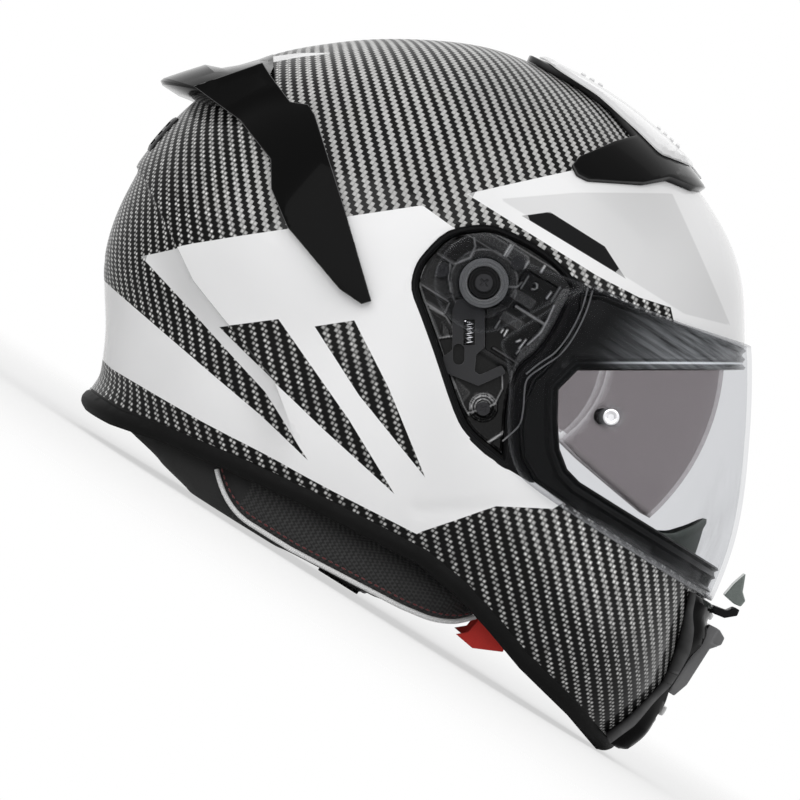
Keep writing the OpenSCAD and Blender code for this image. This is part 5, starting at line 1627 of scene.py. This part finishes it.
# path, half width, height, painted highlight
MOULDED_RIBS = [
    ([(28, 156.6), (18.6, 156.4)], 0.5, 0.8, 0.08),
    ([(28, 140.4), (12, 140.4)], 0.45, 0.8, 0.16),
    ([(24, 134.4), (11, 134.4)], 0.45, 0.8, 0.20),
    ([(17.6, 133.4), (9, 133.8), (0, 129.4)], 0.45, 0.9, 0.14),
    ([(29.4, 170), (30.8, 160), (30.4, 150), (28.6, 141), (17.5, 132), (6.6, 123.8), (0, 129.4)],
     0.4, 0.9, 0.30),
    ([(18.4, 157), (14, 163), (14.8, 168.4), (17.4, 171.6)], 0.4, 0.6, 0.22),
    ([(20.4, 155.6), (17.6, 149.6), (13.2, 144.6)], 0.4, 0.6, 0.20),
    ([(11, 140), (10.4, 134.6)], 0.4, 0.7, 0.12),
    ([(1.2, 172), (1.2, 177.8)], 0.45, 1.3, 0.50),
    ([(0.1, 172), (0.1, 177.8)], 0.35, 1.2, 0.30),
    ([(-9.7, 172.2), (-9.7, 175.6)], 0.5, 1.2, 0.40),
    ([(-17.2, 174.6), (-17.2, 177.8)], 0.5, 1.2, 0.5),
    ([(-33.2, 174.8), (-33.2, 177.6)], 0.4, 1.1, 0.30),
    ([(23, 171.2), (-10, 171.2)], 0.3, 0.5, 0.10),
    ([(22, 178.6), (-34, 178.9)], 0.3, 0.6, 0.12),
    ([(-16, 155), (-31, 155)], 0.95, 1.2, 0.16),
    ([(-13.3, 163.4), (-13.3, 170)], 0.3, 0.9, 0.34),
    ([(-28.4, 165.6), (-28.4, 173.2)], 0.4, 0.9, 0.22),
    ([(-25.9, 165.8), (-26.1, 169)], 0.5, 1.0, 0.45),
    ([(-7.6, 160.6), (-11.6, 163), (-12.2, 166)], 0.35, 0.5, 0.22),
    ([(-13, 141.6), (-13, 145.4)], 0.35, 0.9, 0.40),
    ([(-16.4, 141.4), (-16.4, 142.8)], 0.45, 0.9, 0.6),
    ([(-18.3, 140.8), (-18.2, 143.6)], 0.5, 0.9, 0.65),
    ([(-24.8, 141.4), (-25.8, 142.8)], 0.5, 0.9, 0.6),
    ([(-27.4, 139.6), (-27.9, 144.4)], 0.45, 0.9, 0.60),
    ([(-27.6, 136.6), (-27.8, 139)], 0.35, 0.8, 0.35),
    ([(-17, 133.2), (-29.8, 133.2)], 0.35, 0.5, 0.16),
    ([(-30.4, 164.6), (-31.4, 158), (-31.9, 151), (-29.6, 143)], 0.4, 1.6, 0.32),
    ([(-27.2, 124.8), (-30.6, 119.6), (-31.4, 112), (-29.4, 108.4), (-23, 101.4)], 0.35, 0.5, 0.26),
    ([(-42.4, 105.2), (-41, 101), (-37.6, 93.8)], 0.6, 1.0, 0.50),
    ([(-30.2, 128.4), (-34.6, 121), (-41.8, 107.4), (-42.4, 105)], 0.5, 0.8, 0.14),
    ([(16, 129.4), (-20, 103), (-24, 101)], 0.4, 0.9, 0.18),
]
BOSS = (-27.6, 107.6)
# radius and painted highlight
BOSS_RINGS = [(2.3, 0.35), (3.7, 0.4), (5.2, 0.42), (6.3, 0.2)]
WASHER = (-36.8, 137.0)
SMALL_RING = (-17.9, 167.4)
SCREW_PLACES = [(-28, 107), (22, 151), (-6, 172.5)]
POST_EDGE = (7.25, 7.45)


def mechanism_relief(p):
    """Height over the plate, tone, speckle and painted highlights of the moulded face at side-view
    points.
    """
    depth = edge_distance(p, POCKET)
    height = np.full(len(p), 0.0)
    tone, speck, bright = (np.full(len(p), v) for v in (0.006, 0.35, 0.0))
    centre = p - np.array(VISOR_PIVOT)
    radius = np.linalg.norm(centre, axis=1)

    def lay(weight, level, colour, grain):
        height[:] += (level - height) * weight
        tone[:] += (colour - tone) * weight
        speck[:] += (grain - speck) * weight

    # Painted highlight: the strongest one given at each point is kept
    def paint_highlight(amount):
        bright[:] = np.maximum(bright, amount)

    lay(1 - blend_step(p[:, 1], 127, 129.5), -0.9, 0.003, 0.1)
    for outline, level, colour, grain, shine in MOULDED_PADS:
        d = edge_distance(p, soften(outline, 0.8, 3))
        lay(blend_step(d, -0.25, 0.35), level, colour, grain)
        paint_highlight(shine * (1 - blend_step(np.abs(d), 0.3, 0.6)))
    lay(1 - blend_step(np.abs(radius - 13.6), 1.7, 2.2), 0.5, 0.012, 0.7)
    paint_highlight(0.10 * (1 - blend_step(np.abs(radius - 15.6), 0.25, 0.55)))
    for path, half, level, shine in MOULDED_RIBS:
        d = line_distance(p, path)
        lay(1 - blend_step(d, half * 0.7, half + 0.35), level, 0.012, 0.2)
        paint_highlight(shine * (1 - blend_step(d, half * 0.5, half + 0.25)))
    for r, shine in BOSS_RINGS:
        q = p - np.array(BOSS)
        d = np.abs(np.linalg.norm(q, axis=1) - r)
        # The painted highlight lies on one side of each ring only
        sector = blend_step(q[:, 0] * 0.8 + q[:, 1] * 0.6, -1.0, 2.5)
        ring = 1 - blend_step(d, 0.25, 0.6)
        lay(ring, 0.3, 0.01, 0.2)
        paint_highlight(shine * ring * sector)
    q = (p - np.array(WASHER)) @ np.array([[0.94, 0.34], [-0.34, 0.94]])
    d = np.abs(np.hypot(q[:, 0] / 2.0, q[:, 1] / 2.9) - 1) * 2.2
    lay(1 - blend_step(d, 0.35, 0.7), 1.0, 0.02, 0.0)
    paint_highlight(0.55 * (1 - blend_step(d, 0.3, 0.65)))
    q = p - np.array(SMALL_RING)
    d = np.abs(np.linalg.norm(q, axis=1) - 1.5)
    lay(1 - blend_step(d, 0.3, 0.6), 1.0, 0.02, 0.0)
    # Painted highlight on one half of the small ring only
    paint_highlight(0.45 * (1 - blend_step(d, 0.2, 0.5)) * (q[:, 0] < 0.6))
    passed = np.max([edge_distance(p - np.array(LEVER_WAY) * t, LEVER_OUTLINE)
                     for t in np.linspace(0, LEVER_TRAVEL, 4)], axis=0)
    room = blend_step(passed, -1.2, -0.7)
    height = np.minimum(height, (1 - room) * 3.0 + room * -0.1)
    for place in SCREW_PLACES:
        near = 1 - blend_step(np.linalg.norm(p - np.array(place), axis=1), 3.5, 3.9)
        height = height * (1 - near) + near * np.minimum(height, 1.2)
    height = height + (POST_TOP - height) * (1 - blend_step(radius, *POST_EDGE))
    wall = 1 - blend_step(depth, 4.0, 4.6)
    return height * (1 - wall) + 0.2 * wall, tone, speck, bright


def make_mechanism_face(side):
    """The moulded face of one base plate: pockets, ribs, guide bars, crescent and bosses."""
    outline = inset(dense(POCKET, 1.5), 3.7)
    marks = [circle(VISOR_PIVOT, r, 60) for r in POST_EDGE]
    sheet = Plan(outline, flat_at(side * PLATE_TOP), lines=marks, step=FACE_STEP)
    height, tone, speck, bright = mechanism_relief(sheet.uv)
    if side < 0:
        sheet.surface = lambda ab, off=0.0: np.column_stack(
            [np.full(len(ab), -(PLATE_TOP + off)), ab])
        sheet.tris = sheet.tris[:, ::-1]
    name = "left" if side > 0 else "right"
    panel("mechanism_face_" + name, sheet, -2.1, 0.0, 0.1, height, "mechanism", "black_plastic",
          "base_plate_" + name, angle=40, steps=1, tone=tone, speck=speck, bright=bright)


EDGE_BEADS = [
    [(-42, 180), (-44.6, 170), (-45.8, 158), (-44.8, 147), (-41, 138), (-38.2, 131),
     (-38.8, 126), (-44, 116), (-46, 109), (-43.4, 99)],
    [(-39.4, 180), (-42.2, 170), (-43.4, 158), (-42.4, 147), (-38.8, 138.4), (-36.2, 131)],
]


def make_edge_beads():
    """Thin moulded beads on the lip between the pocket and the eyeport seal."""
    rows = []
    for side in (-1, 1):
        for path in EDGE_BEADS:
            yz = curve_through([(y, z) for y, z in path], 5)
            rows.append(swept(np.column_stack([side * (shell_x(yz) + 0.1), yz]),
                              round_section(0.42, 8)))
    # the beads in the lighter plastic: painted highlight along the lip
    ride(new_mesh("edge_beads", *joined(*rows), FINISH["bright_plastic"]), "helmet",
         "black_plastic")


# Padded pieces
SKIN_CELL, SKIN_SMOOTHING, CLOTH_PRESSURE, CLOTH_FRAMES = 4.5, 6, 4.0, 20


def applied(piece):
    """The piece with its modifiers applied."""
    graph = bpy.context.evaluated_depsgraph_get()
    mesh = bpy.data.meshes.new_from_object(piece.evaluated_get(graph))
    piece.modifiers.clear()
    piece.data = mesh
    return piece


def coordinates(mesh):
    flat = np.zeros(len(mesh.vertices) * 3, np.float32)
    mesh.vertices.foreach_get("co", flat)
    return flat.reshape(-1, 3).astype(float)


def padded_piece(node, name, slot, body, shrink, cap, floor=None):
    """A pad from the node's space: voxel skin, blown up as cloth, capped and smoothed."""
    piece = from_cad(node, name, slot, body, width=0)
    skin = piece.modifiers.new("skin", "REMESH")
    skin.mode = "VOXEL"
    skin.voxel_size = SKIN_CELL * MM
    applied(piece)
    soft = piece.modifiers.new("soft", "SMOOTH")
    soft.iterations = SKIN_SMOOTHING
    applied(piece)
    mesh = piece.data
    co = coordinates(mesh)
    normals = np.zeros(len(mesh.vertices) * 3, np.float32)
    mesh.vertex_normals.foreach_get("vector", normals)
    co -= normals.reshape(-1, 3) * shrink * MM
    mesh.vertices.foreach_set("co", co.astype(np.float32).ravel())
    cloth = piece.modifiers.new("cover", "CLOTH")
    cloth.settings.use_pressure = True
    cloth.settings.uniform_pressure_force = CLOTH_PRESSURE
    cloth.settings.effector_weights.gravity = 0.0
    scene = bpy.context.scene
    for frame_number in range(1, CLOTH_FRAMES + 1):
        scene.frame_set(frame_number)
    graph = bpy.context.evaluated_depsgraph_get()
    blown = coordinates(piece.evaluated_get(graph).data)
    piece.modifiers.clear()
    move = blown - co
    size = np.linalg.norm(move, axis=1)[:, None]
    co = co + move * np.minimum(1.0, cap * MM / np.maximum(size, 1e-9))
    scene.frame_set(1)
    if floor is not None:
        co[:, 2] = np.maximum(co[:, 2], floor * MM)
    mesh.vertices.foreach_set("co", co.astype(np.float32).ravel())
    mesh.materials.clear()
    mesh.materials.append(FINISH[slot])
    mesh.shade_smooth()
    smooth_skin = piece.modifiers.new("finer skin", "SUBSURF")
    smooth_skin.levels = smooth_skin.render_levels = 1
    applied(piece)
    piece.data.shade_smooth()
    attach(piece, body)
    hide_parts(node)
    return piece


# Stitches
def stitch_tree(material):
    """Node tree that lays rounded stitches end to end along the edges of a path."""
    group = bpy.data.node_groups.new("stitch row", "GeometryNodeTree")
    face, ids = group.interface, {}
    face.new_socket("Geometry", in_out="INPUT", socket_type="NodeSocketGeometry")
    for name, value in (("Spacing", 0.003), ("Stitch length", 0.0022), ("Thread", 0.0005)):
        made = face.new_socket(name, in_out="INPUT", socket_type="NodeSocketFloat")
        made.default_value = value
        ids[name] = made.identifier
    face.new_socket("Geometry", in_out="OUTPUT", socket_type="NodeSocketGeometry")
    t = Tree(group)
    given = {key: t.node("NodeGroupInput", out=key) for key in ("Geometry", *ids)}
    curve = t.node("GeometryNodeMeshToCurve", {}, {"Mesh": given["Geometry"]})
    even = t.node("GeometryNodeResampleCurve", {"mode": "LENGTH"},
                  {"Curve": curve, "Length": given["Spacing"]})
    turn = t.node("FunctionNodeAlignEulerToVector", {"axis": "X"},
                  {"Vector": t.node("GeometryNodeInputTangent")})
    ball = t.node("GeometryNodeMeshUVSphere", {}, {"Segments": 8, "Rings": 5, "Radius": 0.5})
    size = t.node("CombineXYZ", {}, (given["Stitch length"], given["Thread"], given["Thread"]))
    rows = t.node("GeometryNodeInstanceOnPoints", {}, {"Points": even, "Instance": ball,
                                                       "Rotation": turn, "Scale": size})
    real = t.node("GeometryNodeRealizeInstances", {}, {"Geometry": rows})
    done = t.node("GeometryNodeSetMaterial", {}, {"Geometry": real, "Material": material})
    t.node("NodeGroupOutput", {}, {"Geometry": done})
    return group, ids


def stitches(name, paths, finish, slot, body, spacing=3.0, length=2.2, thread=0.6):
    """Rows of stitches along paths in mm, as one mesh."""
    points, edges = [], []
    for path in paths:
        first = len(points)
        points += [tuple(np.asarray(p, float) * MM) for p in path]
        edges += [(k, k + 1) for k in range(first, len(points) - 1)]
    mesh = bpy.data.meshes.new(name)
    mesh.from_pydata(points, edges, [])
    piece = add_object(name, mesh)
    rows = piece.modifiers.new("stitch row", "NODES")
    rows.node_group, ids = stitch_tree(FINISH[finish])
    for key, value in (("Spacing", spacing), ("Stitch length", length), ("Thread", thread)):
        rows[ids[key]] = value * MM
    applied(piece)
    piece.data.shade_smooth()
    return ride(piece, body, slot)


# Neck roll and piping
ROLL_HALF, ROLL_Y = 13.0, 20.0
ROLL_REACH = {"side": 96.4 - ROLL_HALF, "back": 97.6 - ROLL_HALF, "front": 122 - ROLL_HALF}
ROLL_BOTTOM = [(-100, 16), (-84, 15), (-70, 10), (-44, 6), (-18, 4), (8, 2), (34, 0), (66, 0),
               (80, 2), (100, 7), (124, 11)]
PIPING, PIPING_CORD = 3.0, 1.15


def power(value, p):
    return math.copysign(abs(value) ** p, value)


def roll_path(degrees, grow=0.0):
    c, s = math.cos(math.radians(degrees)), math.sin(math.radians(degrees))
    p = 0.95 if c > 0 else 0.72
    way = ROLL_REACH["back"] if c > 0 else ROLL_REACH["front"]
    return np.array([power(s, p) * (ROLL_REACH["side"] + grow),
                     ROLL_Y + power(c, p) * (way + grow)])


def roll_low(degrees):
    y = roll_path(degrees, ROLL_HALF)[1]
    return float(np.interp(y, [p[0] for p in ROLL_BOTTOM], [p[1] for p in ROLL_BOTTOM])) - 1.6


def make_roll():
    """The padded neck roll, its white piping and the stitching beside it."""
    padded_piece("neck_roll", "neck_pad", "roll_cloth", "helmet", 1.6, 2.2, floor=0.0)
    rows, beside = [], []
    for side in (-1, 1):
        path = []
        for a in np.linspace(66, 136, 40):
            x, y = roll_path(side * a, ROLL_HALF + PIPING / 2 - 1.2)
            lift = 13 * max(1 - (a - 66) / 16, 0) ** 2 + 8 * max((a - 120) / 16, 0) ** 2
            path.append((x, y, max(roll_low(side * a), 0) + 3.2 + PIPING / 2 + lift))
        rows.append(swept(path, round_section(PIPING_CORD)))
        beside.append([(x * 1.004, y, z + 3.4) for x, y, z in path])
    ride(new_mesh("white_piping", *joined(*rows), FINISH["piping_cloth"]), "helmet",
         "piping_cloth", "neck_piping")
    stitches("piping_stitches", beside, "red_thread", "roll_cloth", "helmet", 3.4, 2.4, 0.8)


# Chin strap
STRAP_Y, STRAP_WIDTH, STRAP_WALL = -14.0, 22.0, 1.6
RING_WIRE, RING_BAR, RING_CORNER = 1.8, 26.0, 3
ANCHOR_X, ANCHOR_Z = 106.8, 43.0
LOOP_RADIUS = 2 * RING_WIRE + 0.7
LOOP_PLACE = (56.0, LOOP_RADIUS + STRAP_WALL + 0.5)
STRAP_LOW = STRAP_WALL / 2 + 4.4
STRAP_FOOT = [(ANCHOR_X - 2.6, ANCHOR_Z + 5), (ANCHOR_X - 2.7, ANCHOR_Z - 1.6),
              (ANCHOR_X - 5, 40.6), (94, 40.2), (76, 40.6), (66, 39)]
STRAP_RIGHT = [(-x, z) for x, z in STRAP_FOOT] + [(-62.5, 34), (-62, 24), (-60, 12), (-56, 5)] \
    + [(x, STRAP_LOW + up) for x, up in ((-49, 0.8), (-40, 0), (-10, 0), (14, 0), (18, 0.6),
                                         (19.4, 2), (18, 3.4), (14, 4), (-26, 4))]
STRAP_LEFT = STRAP_FOOT + [(63, 34), (62.6, 24), (61.2, LOOP_PLACE[1] + 5.5),
                           (60.4, LOOP_PLACE[1] + 3.6)]


def band_section():
    """Section of the flat webbing with soft edges."""
    w, h = STRAP_WIDTH / 2, STRAP_WALL / 2
    return [(-w, 0), (-w + h * 0.5, h * 0.85), (-w + h * 1.6, h), (w - h * 1.6, h),
            (w - h * 0.5, h * 0.85), (w, 0), (w - h * 0.5, -h * 0.85), (w - h * 1.6, -h),
            (-w + h * 1.6, -h), (-w + h * 0.5, -h * 0.85)]


def band(name, path, node, extra=()):
    """Webbing along a path across the helmet, with its weave mapped along its length."""
    path = curve_through([(x, STRAP_Y, z) for x, z in path], 5)
    section = band_section()
    points, faces = swept(path, section, side=(0, 1, 0))
    run = np.concatenate([[0], np.cumsum(np.linalg.norm(np.diff(path, axis=0), axis=1))])
    flat = np.column_stack([np.repeat(run, len(section)), points[:, 1]])
    for p, _ in extra:
        flat = np.vstack([flat, np.column_stack([np.hypot(p[:, 0], p[:, 2]), p[:, 1]])])
    points, faces = joined((points, faces), *extra)
    piece = new_mesh(name, points, faces, FINISH["webbing"], angle=50)
    set_map(piece, flat)
    ride(piece, "helmet", "webbing", node)


def make_straps():
    """Two strap halves, the rings' loop, and box stitching where the webbing is sewn."""
    band("chin_strap_right", STRAP_RIGHT, "strap_right")
    turn = np.radians(np.arange(0, 360, 10))
    w = STRAP_WIDTH / 2
    ring = [(LOOP_RADIUS + STRAP_WALL * share, y)
            for share, y in ((0, -w), (0.9, -w), (1, -w + 0.6), (1, w - 0.6), (0.9, w), (0, w))]
    points = np.array([(LOOP_PLACE[0] + r * math.cos(a), STRAP_Y + y,
                        LOOP_PLACE[1] + r * math.sin(a)) for a in turn for r, y in ring])
    faces = tube_faces(len(turn), len(ring), closed=True)
    band("chin_strap_left", STRAP_LEFT, "strap_left", [(points, outward(points, faces))])
    rows = []
    for x0, x1 in ((-100, -82), (82, 100)):
        y0, y1 = STRAP_Y - w + 2.5, STRAP_Y + w - 2.5
        corner = [(x0, y0), (x1, y0), (x1, y1), (x0, y1), (x0, y0), (x1, y1), (x0, y1), (x1, y0)]
        rows.append([(x, y, 41.6 - 2.1) for x, y in corner])
    stitches("strap_stitches", rows, "thread", "webbing", "helmet", 2.4, 1.9, 0.6)


def make_rings():
    """Two welded wire rings with a straight bar and a round bow."""
    rings, r, c = [], RING_BAR / 2, RING_CORNER
    bow = [(-9 - r * math.sin(a), r * math.cos(a)) for a in np.radians(np.arange(6, 180, 8))]
    line = [(0, y) for y in np.linspace(-r + c, r - c, 8)]
    line += [(-c + c * math.cos(a), r - c + c * math.sin(a)) for a in np.radians([15, 35, 55, 75])]
    line += [(-4, r), (-6, r), (-8, r)] + bow + [(-8, -r), (-6, -r), (-4, -r)]
    line += [(-c + c * math.cos(a), -r + c + c * math.sin(a))
             for a in np.radians([285, 305, 325, 345])]
    for lift in (-RING_WIRE - 0.1, RING_WIRE + 0.1):
        path = [(LOOP_PLACE[0] + x, STRAP_Y + y, LOOP_PLACE[1] + lift) for x, y in line]
        rings.append(swept(path, round_section(RING_WIRE), closed=True))
    ride(new_mesh("ring_pair", *joined(*rings), FINISH["bright_steel"], angle=60), "d_rings",
         "bright_steel", "d_rings")


# Curtain, tabs and pads
def make_curtain():
    """Thin wind curtain behind the chin, sagging a little, hemmed at its free edge."""
    turn = np.radians(np.arange(205, 336, 5))
    outline = [(72 * math.cos(a), -72 + 84 * math.sin(a)) for a in turn] \
        + [(70 * math.cos(a), -64 + 56 * math.sin(a)) for a in turn[::-1]]

    def hung(ab, off=0.0):
        depth = np.maximum(edge_distance(ab, outline), 0)
        sag = 1.2 * blend_step(depth, 0, 10)
        return np.column_stack([ab, 18.0 - sag + off])

    sheet = Plan(outline, hung, step=3.0)
    hem = 0.5 * (1 - blend_step(np.abs(edge_distance(sheet.uv, outline) - 1.5), 1.0, 2.2))
    piece, _, _ = panel("wind_curtain", sheet, -0.5, 0.1, 0.2, 0.1 + hem, "curtain_cloth",
                        "curtain_cloth", "chin_curtain", steps=1)
    a, b, c = (sheet.points(0)[sheet.tris[:, k]] for k in range(3))
    area = np.linalg.norm(np.cross(b - a, c - a), axis=1).sum() / 2 * MM ** 2


def make_soft_goods():
    make_roll()
    padded_piece("crown_liner", "crown_pad", "liner_cloth", "helmet", 1.2, 1.8)
    for side in ("right", "left"):
        padded_piece("cheek_pad_" + side, "cheek_cushion_" + side, "liner_cloth", "helmet", 1.6,
                     2.4)
    make_straps()
    make_rings()
    make_curtain()
    from_cad("pull_tabs", "cheek_pull_tabs", "red_tape", "helmet", 0.3)


# Everything made
def make_pockets():
    for side in (-1, 1):
        make_pocket(side)


for make in (make_camera, make_shell, make_pockets, make_trim, make_gasket, make_visor,
             make_lens_pins, make_sun_visor, make_spoiler, make_brow_frame, make_brow_cover,
             make_chin_frame, make_chin_insert, make_grille, make_guard, make_mechanism,
             make_springs, make_soft_goods):
    make()

for row in frame["record"]["subparts"]:
    node = frame["nodes"][row["node"]]
    node.data.materials.clear()
    node.data.materials.append(FINISH[row["material_slot"]])


# Studio
WORLD_LIGHT, BACKDROP_LIGHT = 0.48, 1.0
FLOOR_PAINT, FLOOR_WHITE = (0.88, 0.88, 0.88), 0.6
FLOOR_HALF, FLOOR_DROP = 1.6, -0.0006
FLOOR_FADE = (0.3, 1.5)
LAMP_AIM = Vector((0, 0, 0.12))
# name, place, size, power
LAMPS = [("key", (-2.0, -0.6, 2.6), (2.9, 2.9), 36), ("side", (-2.6, 1.3, 1.1), (2.4, 1.8), 29),
         ("back", (1.6, 0.6, 2.0), (2.6, 2.6), 8)]


def make_studio():
    """Even white surroundings; the backdrop reads white to camera, gloss and glass."""
    m = Finish("studio", world=True)
    seen = m.ray("Camera").max(m.ray("Glossy")).max(m.ray("Transmission"))
    light, backdrop = (m.node("Background", {}, {"Color": WHITE, "Strength": strength})
                       for strength in (WORLD_LIGHT, BACKDROP_LIGHT))
    bpy.context.scene.world = m.finish(m.mix_shader(seen, light, backdrop))


def make_floor():
    """A pale floor that reads white to the camera and keeps the object's shadow."""
    m = Finish("floor")
    paint = m.node("BsdfDiffuse", {}, {"Color": FLOOR_PAINT})
    glow = m.node("Emission", {}, {"Color": WHITE})
    near = m.mix_shader(m.ray("Camera") * FLOOR_WHITE, paint, glow)
    point = m.node("TexCoord", out="Object")
    away = m.node("VectorMath", {"operation": "LENGTH"}, (point,), out="Value")
    air = m.node("BsdfTransparent")
    w = FLOOR_HALF
    mesh = bpy.data.meshes.new("floor")
    mesh.from_pydata([(-w, -w, 0), (w, -w, 0), (w, w, 0), (-w, w, 0)], [], [(0, 1, 2, 3)])
    mesh.materials.append(m.finish(m.mix_shader(away.step(*FLOOR_FADE), near, air)))
    floor = add_object("floor", mesh)
    floor.location = (0, 0, FLOOR_DROP)


def soft_light(name, place, size, power):
    data = bpy.data.lights.new(name, "AREA")
    data.shape = "RECTANGLE"
    data.size, data.size_y = size
    data.energy = power
    lamp = add_object(name, data)
    lamp.location = place
    lamp.rotation_euler = (LAMP_AIM - Vector(place)).to_track_quat("-Z", "Y").to_euler()


make_studio()
make_floor()
for lamp in LAMPS:
    soft_light(*lamp)

bpy.context.scene.view_settings.view_transform = "Standard"
